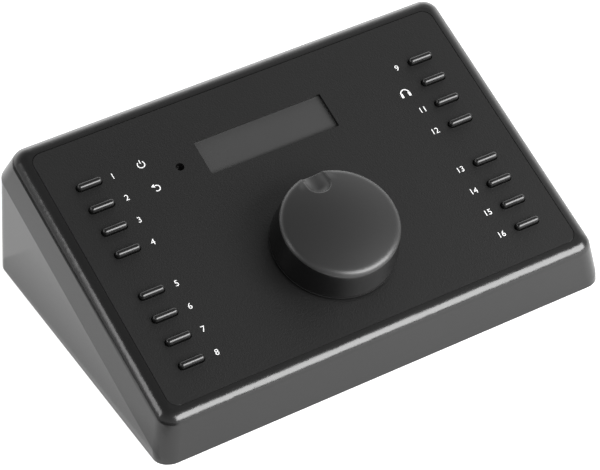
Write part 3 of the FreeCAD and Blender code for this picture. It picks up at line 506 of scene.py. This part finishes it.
glass = grained("display_glass", grey(0.010), grey(0.014), smooth=0.06, rough=0.10,
                grain=2500.0, patch=40.0, bump=0.0)
tree = glass.node_tree
flat = deck_coordinates(tree)
u, v = axes_of(tree, flat)[:2]
field = both(tree, between(tree, u, -DOT_FIELD_HALF_WIDTH, DOT_FIELD_HALF_WIDTH, 0.0002),
             between(tree, v, DOT_FIELD_FRONT, DOT_FIELD_BACK, 0.0002))
dots = both(tree, waves(tree, flat, "X", DOT_PITCH), waves(tree, flat, "Y", DOT_PITCH))
overlay_tone(glass, both(tree, field, dots), (0.035, 0.038, 0.034))
finish(glass, "display_module")

finish(grained("moulded_bracket", grey(0.020), grey(0.030), smooth=0.45, rough=0.55,
               grain=1500.0, patch=40.0, bump=0.3), "display_bracket")

# ---------------------------------------------------------------------------------------------
# Light pipe and light sensor: a dark acrylic rod deep in the small hole by the display, and a
# clear epoxy sensor under it, whose square die shows through the top.
SENSOR_U, SENSOR_V = -0.0385, 0.03515
DIE_HALF = 0.0006

finish(grained("dark_acrylic", grey(0.004), grey(0.006), smooth=0.05, rough=0.09,
               grain=3000.0, patch=200.0, bump=0.0), "light_pipe")

epoxy = grained("sensor_epoxy", grey(0.10), grey(0.13), smooth=0.10, rough=0.16,
                grain=2500.0, patch=300.0, bump=0.02)
tree = epoxy.node_tree
u, v = axes_of(tree, deck_coordinates(tree))[:2]
die = both(tree, between(tree, u, SENSOR_U - DIE_HALF, SENSOR_U + DIE_HALF, 0.0001),
           between(tree, v, SENSOR_V - DIE_HALF, SENSOR_V + DIE_HALF, 0.0001))
overlay_tone(epoxy, die, grey(0.012))
finish(epoxy, "light_sensor")

# ---------------------------------------------------------------------------------------------
# Keys: sixteen slim caps moulded in black ABS, smoother than the housing, each standing in its
# slot with a full-round top that draws one bright line of the soft box.
KEY_NAMES = [f"key_{side}_{number}" for side in ("left", "right") for number in range(1, 9)]
finish(grained("satin_black_key", grey(0.004), grey(0.005), smooth=0.20, rough=0.24,
               grain=2600.0, patch=60.0, bump=0.0), *KEY_NAMES)

# ---------------------------------------------------------------------------------------------
# Key switches: sixteen square tactile switches on the control board. Each is a black moulding
# under a thin pressed cover of bright steel, which shows as its shiny top.
COVER_BOTTOM, COVER_TOP = -0.00935, -0.0085


def overlay_metal(material, mask, roughness):
    """Make a finish metallic, with its own roughness, where the mask is one."""
    overlay_gloss(material, mask, roughness)
    tree = material.node_tree
    tree.links.new(mask, tree.nodes["Principled BSDF"].inputs["Metallic"])


switch = grained("switch_moulding", grey(0.012), grey(0.020), smooth=0.40, rough=0.50,
                 grain=2500.0, patch=120.0, bump=0.15)
tree = switch.node_tree
cover = between(tree, axes_of(tree, deck_coordinates(tree))[2], COVER_BOTTOM, COVER_TOP, 0.00003)
overlay_tone(switch, cover, grey(0.55))
overlay_metal(switch, cover, 0.28)
finish(switch, "tactile_switches")

# ---------------------------------------------------------------------------------------------
# Knob: one hollow ABS moulding with a crowned face, a tapered side and the finger scoop. The mould
# is finely blasted on the face and in the scoop, and the edge is rolled soft. The scoop is painted
# lighter inside as painted light against the shade of its deep hollow, and the foot is painted near
# black as painted shade under the knob.
FACE_BOTTOM, FACE_TOP = 0.0144, 0.0200
SCOOP_PLACE, SCOOP_REACH = (0, -0.0002), 0.0068
HOLLOW_BOTTOM, HOLLOW_TOP = 0.0120, 0.0164
FOOT_BOTTOM, FOOT_TOP = -0.0010, 0.0014
SOFT_EDGE_RADIUS = 0.003


def within(tree, first, second, centre, radius, soft):
    """A mask that is one inside a circle in the plane of two axes."""
    flat = tree.nodes.new("ShaderNodeCombineXYZ")
    tree.links.new(first, flat.inputs["X"])
    tree.links.new(second, flat.inputs["Y"])
    reach = tree.nodes.new("ShaderNodeVectorMath")
    reach.operation = "DISTANCE"
    reach.inputs[1].default_value = (*centre, 0)
    tree.links.new(flat.outputs["Vector"], reach.inputs[0])
    return between(tree, reach.outputs["Value"], -radius, radius, soft)


knob_plastic = grained("satin_black_knob", grey(0.0015), grey(0.0025), smooth=0.20, rough=0.24,
                       grain=2200.0, patch=30.0, bump=0.03)
tree = knob_plastic.node_tree
tree.nodes["Principled BSDF"].inputs["Specular IOR Level"].default_value = 0.58
u, v, w = axes_of(tree, deck_coordinates(tree))
near_scoop = within(tree, u, v, SCOOP_PLACE, SCOOP_REACH, 0.0015)
for mask, tone, roughness in (
        (between(tree, w, FACE_BOTTOM, FACE_TOP, 0.0002), grey(0.009), 0.36),
        # Painted shade: the foot is painted near black and dull for the shade in the gap under the knob.
        (between(tree, w, FOOT_BOTTOM, FOOT_TOP, 0.0001), grey(0.0004), 1.0),
        # Painted light: the scoop is painted lighter inside against the shade of its deep hollow.
        (both(tree, near_scoop, between(tree, w, HOLLOW_BOTTOM, HOLLOW_TOP, 0.0005)), grey(0.020), 0.50)):
    overlay_tone(knob_plastic, mask, tone)
    overlay_gloss(knob_plastic, mask, roughness)
soft_edge = tree.nodes.new("ShaderNodeBevel")
soft_edge.samples = 12
tree.links.new(ranged(tree, near_scoop, 0.0, 1.0, SOFT_EDGE_RADIUS, 0.0), soft_edge.inputs["Radius"])
tree.links.new(soft_edge.outputs["Normal"], tree.nodes["relief"].inputs["Normal"])
finish(knob_plastic, "knob")

# ---------------------------------------------------------------------------------------------
# Encoder under the knob: a die-cast body with a threaded bushing, a turned shaft with its flat,
# a plated washer, and the nut that clamps it to the deck.
BUSHING_BOTTOM, BUSHING_TOP = -0.0038, 0.0040
FINE_THREAD_PITCH = 0.00075
TURNING_PITCH = 0.00012


def plated(name, colour, smooth, rough, grain, bump):
    """A metal finish with a fine worked surface."""
    dull = [part * 0.85 for part in colour]
    material = grained(name, dull, colour, smooth, rough, grain, 150.0, bump)
    material.node_tree.nodes["Principled BSDF"].inputs["Metallic"].default_value = 1.0
    return material


def overlay_relief(material, height, depth):
    """Add a second, coarser relief under the grain."""
    tree = material.node_tree
    bump = tree.nodes.new("ShaderNodeBump")
    bump.inputs["Distance"].default_value = depth
    tree.links.new(height, bump.inputs["Height"])
    tree.links.new(bump.outputs["Normal"], tree.nodes["relief"].inputs["Normal"])


die_cast = plated("die_cast_body", grey(0.34), smooth=0.32, rough=0.42, grain=2500.0, bump=0.25)
tree = die_cast.node_tree
flat = deck_coordinates(tree)
bushing = between(tree, axes_of(tree, flat)[2], BUSHING_BOTTOM, BUSHING_TOP, 0.0001)
overlay_relief(die_cast, both(tree, bushing, waves(tree, flat, "Z", FINE_THREAD_PITCH)), 0.0003)
finish(die_cast, "encoder_body")
finish(plated("bright_nickel", (0.72, 0.70, 0.66), smooth=0.14, rough=0.24, grain=3500.0, bump=0.06),
       "encoder_washer", "encoder_nut", "encoder_plunger")
turned = plated("turned_aluminium", grey(0.72), smooth=0.22, rough=0.32, grain=3000.0, bump=0.05)
tree = turned.node_tree
overlay_relief(turned, waves(tree, deck_coordinates(tree), "Z", TURNING_PITCH), 0.00001)
finish(turned, "encoder_shaft")

# ---------------------------------------------------------------------------------------------
# Control board: glass-fibre laminate under a green solder mask, with copper runs that show
# faintly through it. Its cut edges are bare laminate, and the switches' pins end in solder cones.
CONTROL_BOARD_BOTTOM, CONTROL_BOARD_TOP = -0.0140, -0.0124
SWITCH_COLUMNS = (-0.07444, 0.07444)
PIN_OFFSETS = [(x, y) for x in (-0.00325, 0.00325) for y in (-0.00225, 0.00225)]
COPPER_PITCH = 0.0009
CUT_EDGE = 0.00003


def circuit_board(name, coordinates, bottom, top):
    """A board's finish: solder mask, runs in two directions, and bare laminate at the edges."""
    material = grained(name, (0.006, 0.045, 0.020), (0.009, 0.060, 0.028), smooth=0.26, rough=0.34,
                       grain=2000.0, patch=40.0, bump=0.05)
    tree = material.node_tree
    vector = coordinates(tree)
    cells = tree.nodes.new("ShaderNodeTexVoronoi")
    cells.inputs["Scale"].default_value = 110.0
    tree.links.new(vector, cells.inputs["Vector"])
    shade = tree.nodes.new("ShaderNodeSeparateColor")
    tree.links.new(cells.outputs["Color"], shade.inputs["Color"])
    for axis, low, high in (("X", 0.0, 0.32), ("Y", 0.60, 0.92)):
        block = between(tree, shade.outputs["Red"], low, high, 0.001)
        stripes = between(tree, waves(tree, vector, axis, COPPER_PITCH), 0.62, 1.0, 0.05)
        runs = both(tree, block, stripes)
        overlay_tone(material, runs, (0.011, 0.076, 0.034))
    overlay_relief(material, runs, 0.00004)
    edge = between(tree, axes_of(tree, vector)[2], bottom + CUT_EDGE, top - CUT_EDGE, 0.00001)
    overlay_tone(material, edge, (0.30, 0.26, 0.14))
    overlay_gloss(material, edge, 0.75)
    return material


def copies(name, source, places):
    """Copies of a piece at several places, each from its own mesh, as one object."""
    made = []
    for place in places:
        copy = source.copy()
        copy.data = source.data.copy()
        copy.data.transform(place)
        bpy.context.scene.collection.objects.link(copy)
        made.append(copy)
    bpy.data.objects.remove(source)
    return join(name, made)


def turned_about(axis, degrees):
    """The matrix of a turn about one axis."""
    return Matrix.Rotation(math.radians(degrees), 4, axis)


finish(circuit_board("control_board", deck_coordinates, CONTROL_BOARD_BOTTOM, CONTROL_BOARD_TOP),
       "control_board")

solder = plated("solder", grey(0.62), smooth=0.22, rough=0.36, grain=3000.0, bump=0.2)
bpy.ops.object.select_all(action="DESELECT")
bpy.ops.mesh.primitive_cone_add(vertices=10, radius1=0.0009, radius2=0.00025, depth=0.0009)
cone = active()
pick_faces(cone, lambda centre, normal: normal.z > 0.9)
bpy.ops.mesh.inset(thickness=0.00008)
bpy.ops.mesh.extrude_region_move(TRANSFORM_OT_translate={"value": (0, 0, 0.0004)})
done()
cone.data.transform(Matrix.Translation((0, 0, 0.00045)))
upside_down = turned_about("X", 180)
switch_joints = copies("switch_joints", cone, [
    on_deck(column + x, row + y, CONTROL_BOARD_BOTTOM) @ upside_down
    for column in SWITCH_COLUMNS for row in KEY_ROWS for x, y in PIN_OFFSETS])
switch_joints.data.shade_smooth()
belongs(switch_joints, solder, "housing")

# ---------------------------------------------------------------------------------------------
# Main board with its processor, converter, network controller and two shielded coils. The chips
# stand on tinned gull-wing leads, and small ceramic parts with tinned ends are spread between them.
MAIN_BOARD_BOTTOM, MAIN_BOARD_TOP = 0.0100, 0.0116
PIN_ONE_DIMPLES = ((-0.0048, 0.0152), (0.0251, 0.0111), (-0.0449, 0.0131))
COIL_CENTRES = ((-0.068, 0.020), (0.056, 0.016))
COIL_HALF = 0.0041
CHIPS = ((-0.006, 0.008, 0.014, 0.027, 0.0008, "EWNS"),     # x0, x1, y0, y1, lead pitch, sides
         (0.024, 0.034, 0.010, 0.020, 0.00065, "EW"),
         (-0.046, -0.036, 0.012, 0.022, 0.0008, "EWNS"))
CHIP_CORNER = 0.0007


def object_coordinates(tree):
    """Plain Object coordinates."""
    return tree.nodes.new("ShaderNodeTexCoord").outputs["Object"]


def block(centre, size):
    """A box with its centre at a place, to be shaped further."""
    bpy.ops.object.select_all(action="DESELECT")
    bpy.ops.mesh.primitive_cube_add(size=1.0)
    box = active()
    box.data.transform(Matrix.Translation(centre) @ Matrix.Diagonal((*size, 1)))
    return box


finish(circuit_board("main_board", object_coordinates, MAIN_BOARD_BOTTOM, MAIN_BOARD_TOP), "main_board")

epoxy_case = grained("epoxy_case", grey(0.010), grey(0.016), smooth=0.42, rough=0.52,
                     grain=3000.0, patch=120.0, bump=0.25)
tree = epoxy_case.node_tree
x, y = axes_of(tree, object_coordinates(tree))[:2]
for spot in PIN_ONE_DIMPLES:
    overlay_tone(epoxy_case, within(tree, x, y, spot, 0.00045, 0.00003), grey(0.05))
for middle in COIL_CENTRES:
    shield = between(tree, x, middle[0] - COIL_HALF, middle[0] + COIL_HALF, 0.00001)
    overlay_tone(epoxy_case, shield, grey(0.035))
    overlay_tone(epoxy_case, within(tree, x, y, middle, 0.0031, 0.0001), grey(0.014))
    overlay_tone(epoxy_case, within(tree, x, y, middle, 0.0026, 0.0001), grey(0.055))
finish(epoxy_case, "main_board_chips")

tin = plated("tinned_lead", grey(0.66), smooth=0.24, rough=0.34, grain=3000.0, bump=0.06)
lead = block((0.00001, 0, 0.00070), (0.00018, 0.0003, 0.00012))
for step in ((0.00006, 0, -0.00062), (0.00030, 0, 0)):
    pick_faces(lead, lambda centre, normal: normal.x > 0.9)
    bpy.ops.mesh.extrude_region_move(TRANSFORM_OT_translate={"value": step})
    done()
with_modifier(lead, "BEVEL", width=0.00003, segments=1)
places = []
for x0, x1, y0, y1, pitch, sides in CHIPS:
    for side_name in sides:
        low, high = (y0, y1) if side_name in "EW" else (x0, x1)
        count = int((high - low - 2 * CHIP_CORNER) / pitch) + 1
        first = (low + high) / 2 - pitch * (count - 1) / 2
        for number in range(count):
            run = first + pitch * number
            spot, turn = {"E": ((x1, run), 0), "N": ((run, y1), 90), "W": ((x0, run), 180),
                          "S": ((run, y0), 270)}[side_name]
            places.append(Matrix.Translation((*spot, MAIN_BOARD_TOP)) @ turned_about("Z", turn))
chip_leads = copies("chip_leads", lead, places)
belongs(chip_leads, tin, "housing")


def part_row(count, x, y, turn, pitch=0.0024):
    """Places of small parts in a row: along x where they are turned across it, else along y."""
    step = (pitch, 0) if turn else (0, pitch)
    return [(x + step[0] * n, y + step[1] * n, turn) for n in range(count)]


ceramic = block((0, 0, 0.00028), (0.0012, 0.00078, 0.00048))
with_modifier(ceramic, "BEVEL", width=0.00005, segments=2)
end_cap = block((0.0007, 0, 0.00028), (0.0004, 0.00084, 0.00054))
with_modifier(end_cap, "BEVEL", width=0.00008, segments=2)
part_places = ([(-0.0115 + 0.0022 * (n % 2), 0.0155 + 0.0026 * n, 0) for n in range(5)]
               + part_row(3, 0.0150, 0.0165, 90, 0.0026) + part_row(4, 0.0365, 0.0105, 0)
               + part_row(4, -0.0325, 0.0125, 0) + part_row(4, -0.0495, 0.0125, 0)
               + part_row(8, -0.0600, 0.0300, 90) + part_row(6, -0.0345, 0.0350, 90)
               + part_row(9, 0.0425, 0.0240, 90) + part_row(4, 0.0665, 0.0125, 0))
placed = [Matrix.Translation((x, y, MAIN_BOARD_TOP)) @ turned_about("Z", turn) for x, y, turn in part_places]
small_parts = copies("small_parts", ceramic, placed)
fired_ceramic = grained("fired_ceramic", (0.16, 0.12, 0.08), (0.22, 0.17, 0.11), smooth=0.30, rough=0.42,
                        grain=2500.0, patch=300.0, bump=0.1)
belongs(small_parts, fired_ceramic, "housing")
half_turn = turned_about("Z", 180)
small_part_ends = copies("small_part_ends", end_cap, placed + [place @ half_turn for place in placed])
belongs(small_part_ends, tin, "housing")

# ---------------------------------------------------------------------------------------------
# Ribbon cable: a flat grey cable of nineteen round cores side by side, with its first core
# marked red. It plugs into a black boxed header on each board.
CORE_PITCH = 0.00127
RED_CORE = (-0.0121, -0.0109)

cable = grained("ribbon_insulation", grey(0.22), grey(0.28), smooth=0.45, rough=0.55,
                grain=2000.0, patch=60.0, bump=0.1)
tree = cable.node_tree
plain = object_coordinates(tree)
overlay_tone(cable, between(tree, axes_of(tree, plain)[0], *RED_CORE, 0.00004), (0.30, 0.012, 0.010))
overlay_relief(cable, waves(tree, plain, "X", CORE_PITCH), 0.0004)
finish(cable, "ribbon_cable")
finish(grained("header_moulding", grey(0.010), grey(0.018), smooth=0.38, rough=0.48,
               grain=2200.0, patch=80.0, bump=0.15), "ribbon_headers")

# ---------------------------------------------------------------------------------------------
# Rear panel: folded steel with a black powder coat. Plain numbers, a headphones sign and the
# inlet's polarity sign are printed above the sockets in the same light grey ink as on the deck.
PANEL_FACE = 0.0625
JACK_X = (0.002, 0.020, 0.038, 0.056, 0.074)
JACK_Z = 0.0185
PANEL_MARK_Z = 0.0275
THIN_STROKE = 0.0003

finish(grained("powder_coat", grey(0.008), grey(0.014), smooth=0.48, rough=0.60,
               grain=1100.0, patch=20.0, bump=0.45), "rear_panel")


def on_back(x, z):
    """The matrix that sets a piece drawn flat, or standing on the plane, on the rear panel."""
    return Matrix(((-1, 0, 0, x), (0, 0, 1, PANEL_FACE), (0, 1, 0, z), (0, 0, 0, 1)))


marks = [figures(str(number), 0.0022, 0, on_back(x, PANEL_MARK_Z))
         for number, x in enumerate(JACK_X[:-1], 1)]
marks.append(headphones_sign("headphones_back", on_back(JACK_X[-1], PANEL_MARK_Z)))
cup_and_pin = [ring_sign(0.00125, THIN_STROKE, -40, 40), ring_sign(0.00042, 0.00040, 0, 0)]
leads_out = [bar_sign(0.0013, 0, 0.0020, THIN_STROKE), bar_sign(-0.0018, 0, 0.0010, THIN_STROKE)]
plus = [bar_sign(0.0033, 0, 0.0012, THIN_STROKE), bar_sign(0.0033, 0, THIN_STROKE, 0.0012)]
minus = [bar_sign(-0.0032, 0, 0.0012, THIN_STROKE)]
marks.append(inked("polarity", cup_and_pin + leads_out + plus + minus, on_back(-0.0752, 0.0262)))
panel_marks = join("panel_marks", marks)
belongs(panel_marks, ink, "housing")

# ---------------------------------------------------------------------------------------------
# Screws: blackened pan heads with a cross recess and a rolled thread. Four hold the rear panel,
# four the base plate from below, six the control board and five the main board.
SCREW_HEAD_RADIUS = 0.0024
SCREW_HEAD_RIM = 0.0013
THREAD_PITCH = 0.0005
THREAD_STEPS = ((-0.0001, 1.08), (-0.00015, 1.0), (-0.0001, 1 / 1.08), (-0.00015, 1.0))
RECESS_LONG, RECESS_WIDE = 0.0026, 0.00055
RECESS_SHARE, RECESS_TAPER = 0.62, 0.6
RECESS_START = 0.0003
PANEL_SCREWS = [(x, z) for x in (-0.0825, 0.0825) for z in (0.014, 0.026)]
BASE_SCREWS = ((-0.0885, -0.057), (0.0885, -0.057), (-0.089, 0.051), (0.089, 0.051))
BASE_SCREW_SEAT = 0.003
CONTROL_BOARD_SCREWS = [(u, v) for u in (-0.062, 0.062) for v in (-0.046, 0.0, 0.046)]
MAIN_BOARD_SCREWS = ((-0.080, 0.009), (0.080, 0.009), (-0.020, 0.009), (-0.066, 0.038), (0.011, 0.024))


def upright_bar(sides, radius, height, bottom):
    """A prism or cylinder that stands with its foot at a height, to be shaped further."""
    bpy.ops.object.select_all(action="DESELECT")
    bpy.ops.mesh.primitive_cylinder_add(vertices=sides, radius=radius, depth=height)
    bar = active()
    bar.data.transform(Matrix.Translation((0, 0, bottom + height / 2)))
    return bar


def carved(piece, tool, operation):
    """Cut a piece with a tool, or to the part inside it, and throw the tool away."""
    with_modifier(piece, "BOOLEAN", object=tool, operation=operation, solver="EXACT")
    bpy.data.objects.remove(tool)


def cross_screw(head_height, length):
    """A screw on the origin: its head stands on the plane and its thread runs down."""
    screw = upright_bar(32, SCREW_HEAD_RADIUS, head_height, 0.0)
    pick_faces(screw, lambda centre, normal: normal.z > 0.9)
    bpy.ops.mesh.bevel(offset=head_height * 0.4, segments=4, affect="EDGES")
    done()
    pick_faces(screw, lambda centre, normal: normal.z < -0.9)
    bpy.ops.mesh.inset(thickness=SCREW_HEAD_RIM)
    turns = int(length / THREAD_PITCH)
    for turn in range(turns):
        for drop, grow in THREAD_STEPS:
            bpy.ops.mesh.extrude_region_move(TRANSFORM_OT_translate={"value": (0, 0, drop)})
            bpy.ops.transform.resize(value=(grow, grow, 1))
    tip = length - turns * THREAD_PITCH + 0.00001
    bpy.ops.mesh.extrude_region_move(TRANSFORM_OT_translate={"value": (0, 0, -tip)})
    bpy.ops.transform.resize(value=(0.7, 0.7, 1))
    done()
    for wide, deep in ((RECESS_LONG, RECESS_WIDE), (RECESS_WIDE, RECESS_LONG)):
        reach = head_height * RECESS_SHARE + RECESS_START
        cutter = block((0, 0, head_height + RECESS_START), (wide, deep, 2 * reach))
        pick_faces(cutter, lambda centre, normal: normal.z < -0.9)
        bpy.ops.transform.resize(value=(RECESS_TAPER, RECESS_TAPER, 1))
        done()
        carved(screw, cutter, "DIFFERENCE")
    screw.data.shade_smooth()
    with_modifier(screw, "WEIGHTED_NORMAL", keep_sharp=True)
    return screw


black_steel = plated("blackened_steel", grey(0.075), smooth=0.28, rough=0.40, grain=3200.0, bump=0.08)
SCREW_GROUPS = (
    ("rear_panel_screws", 0.0013, 0.0042, [on_back(x, z) for x, z in PANEL_SCREWS]),
    ("base_plate_screws", 0.0009, 0.0080,
     [Matrix.Translation((x, y, BASE_SCREW_SEAT)) @ upside_down for x, y in BASE_SCREWS]),
    ("control_board_screws", 0.0013, 0.0060,
     [on_deck(u, v, CONTROL_BOARD_BOTTOM) @ upside_down for u, v in CONTROL_BOARD_SCREWS]),
    ("main_board_screws", 0.0013, 0.0055,
     [Matrix.Translation((x, y, MAIN_BOARD_TOP)) for x, y in MAIN_BOARD_SCREWS]))
for group_name, head_height, length, places in SCREW_GROUPS:
    group = copies(group_name + "_crossed", cross_screw(head_height, length), places)
    belongs(group, black_steel, "housing")
    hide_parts(group_name)

# ---------------------------------------------------------------------------------------------
# Power inlet, data sockets and the optical socket: black mouldings. The inlet has a turned centre
# pin, the small data socket a drawn bright shell, and the two modular ones eight gilt springs each.
INLET_X, INLET_Z = -0.0755, 0.0185
PIN_RADIUS, PIN_BACK, PIN_TIP = 0.00115, 0.0512, 0.0640
TONGUE_X, TONGUE_HALF = -0.0640, 0.00335
TONGUE_LOW, TONGUE_HIGH = 0.01319, 0.01401
SHELL_BACK, SHELL_MOUTH = 0.0546, 0.0640
CONTACT_PITCH, CONTACTS_HALF = 0.0005, 0.0029
MODULAR_X = (-0.049, -0.031)
SPRING_PITCH = 0.00102


def black_moulding(name, smooth, rough, dark=0.007, light=0.012, bump=0.08):
    """The finish of a socket's black case."""
    return grained(name, grey(dark), grey(light), smooth, rough, 2600.0, 80.0, bump)


finish(black_moulding("socket_moulding", 0.30, 0.40), "network_socket", "remote_socket", "digital_socket")

inlet = black_moulding("inlet_moulding", 0.30, 0.40)
tree = inlet.node_tree
x, y, z = axes_of(tree, object_coordinates(tree))
pin = both(tree, within(tree, x, z, (INLET_X, INLET_Z), PIN_RADIUS, 0.00004),
           between(tree, y, PIN_BACK, PIN_TIP, 0.00004))
overlay_tone(inlet, pin, grey(0.70))
overlay_metal(inlet, pin, 0.18)
finish(inlet, "dc_inlet")

shell = black_moulding("drawn_shell", 0.34, 0.42, dark=0.008, light=0.013, bump=0.05)
tree = shell.node_tree
plain = object_coordinates(tree)
x, y, z = axes_of(tree, plain)
tongue = both(tree, between(tree, x, TONGUE_X - TONGUE_HALF, TONGUE_X + TONGUE_HALF, 0.00002),
              between(tree, z, TONGUE_LOW, TONGUE_HIGH, 0.00002))
row = both(tree, tongue, between(tree, x, TONGUE_X - CONTACTS_HALF, TONGUE_X + CONTACTS_HALF, 0.00005))
contacts = both(tree, row, between(tree, waves(tree, plain, "X", CONTACT_PITCH), 0.5, 1.0, 0.1))
steel = both(tree, between(tree, y, SHELL_BACK, SHELL_MOUTH, 0.00001),
             opposite(tree, both(tree, tongue, tongue)))
overlay_tone(shell, steel, grey(0.62))
overlay_tone(shell, contacts, (0.75, 0.55, 0.24))
overlay_metal(shell, calculated(tree, "MAXIMUM", steel, contacts), 0.22)
finish(shell, "usb_socket")

gilt = plated("gilt_spring", (0.80, 0.60, 0.28), smooth=0.16, rough=0.24, grain=3000.0, bump=0.04)
spring = block((0, 0.0613, 0.02305), (0.00045, 0.0004, 0.0002))
for step in ((0, -0.0012, -0.0004), (0, -0.0070, -0.0030), (0, -0.0006, -0.0001), (0, -0.0007, 0.0005)):
    pick_faces(spring, lambda centre, normal: normal.y < -0.8 and abs(normal.z) < 0.5 and
               centre.y < min(vertex.co.y for vertex in spring.data.vertices) + 0.00005)
    bpy.ops.mesh.extrude_region_move(TRANSFORM_OT_translate={"value": step})
    done()
with_modifier(spring, "BEVEL", width=0.00006, segments=2)
socket_springs = copies("socket_springs", spring, [
    Matrix.Translation((centre + SPRING_PITCH * (n - 3.5), 0, 0)) for centre in MODULAR_X for n in range(8)])
belongs(socket_springs, gilt, "housing")

# ---------------------------------------------------------------------------------------------
# Audio jacks: black mouldings with a nickel-plated threaded bushing through the panel, clamped
# by hexagon nuts with chamfered corners.
COLLAR_BACK, COLLAR_END = 0.05735, 0.0650
JACK_MOUTH_RADIUS = 0.00325
NUT_HALF_FLATS, NUT_HEIGHT = 0.00575, 0.0016
NUT_CORNER_RADIUS = 0.00685
NUT_CHAMFER_WIDTH, NUT_CHAMFER_FOOT = 0.0011, 0.0011
NUT_BORE_RADIUS = 0.00462
DULL_NICKEL = (0.22, 0.215, 0.205)

jack = black_moulding("jack_moulding", 0.32, 0.42)
tree = jack.node_tree
plain = object_coordinates(tree)
x, y, z = axes_of(tree, plain)
collar = between(tree, y, COLLAR_BACK, COLLAR_END, 0.00003)
overlay_tone(jack, collar, DULL_NICKEL)
# Each bore is near black inside: the black moulding's own colour, and painted shade where the bore runs
# through the nickel collar.
for centre in JACK_X:
    overlay_tone(jack, within(tree, x, z, (centre, JACK_Z), JACK_MOUTH_RADIUS, 0.00004), grey(0.012))
overlay_metal(jack, collar, 0.22)
overlay_relief(jack, both(tree, collar, waves(tree, plain, "Y", FINE_THREAD_PITCH)), 0.0003)
finish(jack, "input_jack_left", "input_jack_right", "output_jack_left", "output_jack_right", "headphone_jack")

nut = upright_bar(6, NUT_HALF_FLATS / math.cos(math.radians(30)), NUT_HEIGHT, 0.0)
nut.data.transform(turned_about("Z", 30))
round_off = upright_bar(96, NUT_CORNER_RADIUS, NUT_HEIGHT, 0.0)
pick_faces(round_off, lambda centre, normal: normal.z > 0.9)
bpy.ops.mesh.bevel(offset=NUT_CHAMFER_WIDTH, segments=1, affect="EDGES", offset_type="OFFSET")
done()
for vertex in round_off.data.vertices:
    if vertex.co.z > 0.0001 and math.hypot(vertex.co.x, vertex.co.y) > NUT_CORNER_RADIUS - 0.00005:
        vertex.co.z = NUT_CHAMFER_FOOT
carved(nut, round_off, "INTERSECT")
carved(nut, upright_bar(64, NUT_BORE_RADIUS, 0.004, -0.002), "DIFFERENCE")
nuts = copies("jack_nuts_chamfered", nut, [on_back(x, JACK_Z) for x in JACK_X])
belongs(nuts, plated("satin_nickel", DULL_NICKEL, smooth=0.24, rough=0.34, grain=3500.0, bump=0.06),
        "housing")
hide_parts("jack_nuts")

# ---------------------------------------------------------------------------------------------
# Base plate: a black ABS moulding with a coarse spark-eroded grain, standoffs for the main board
# and seats for four domed feet of soft black rubber.
finish(grained("eroded_base", grey(0.008), grey(0.013), smooth=0.48, rough=0.58,
               grain=900.0, patch=18.0, bump=0.55), "base_plate")
finish(grained("black_rubber", grey(0.010), grey(0.017), smooth=0.72, rough=0.84,
               grain=1800.0, patch=90.0, bump=0.4),
       "foot_front_left", "foot_front_right", "foot_rear_left", "foot_rear_right")
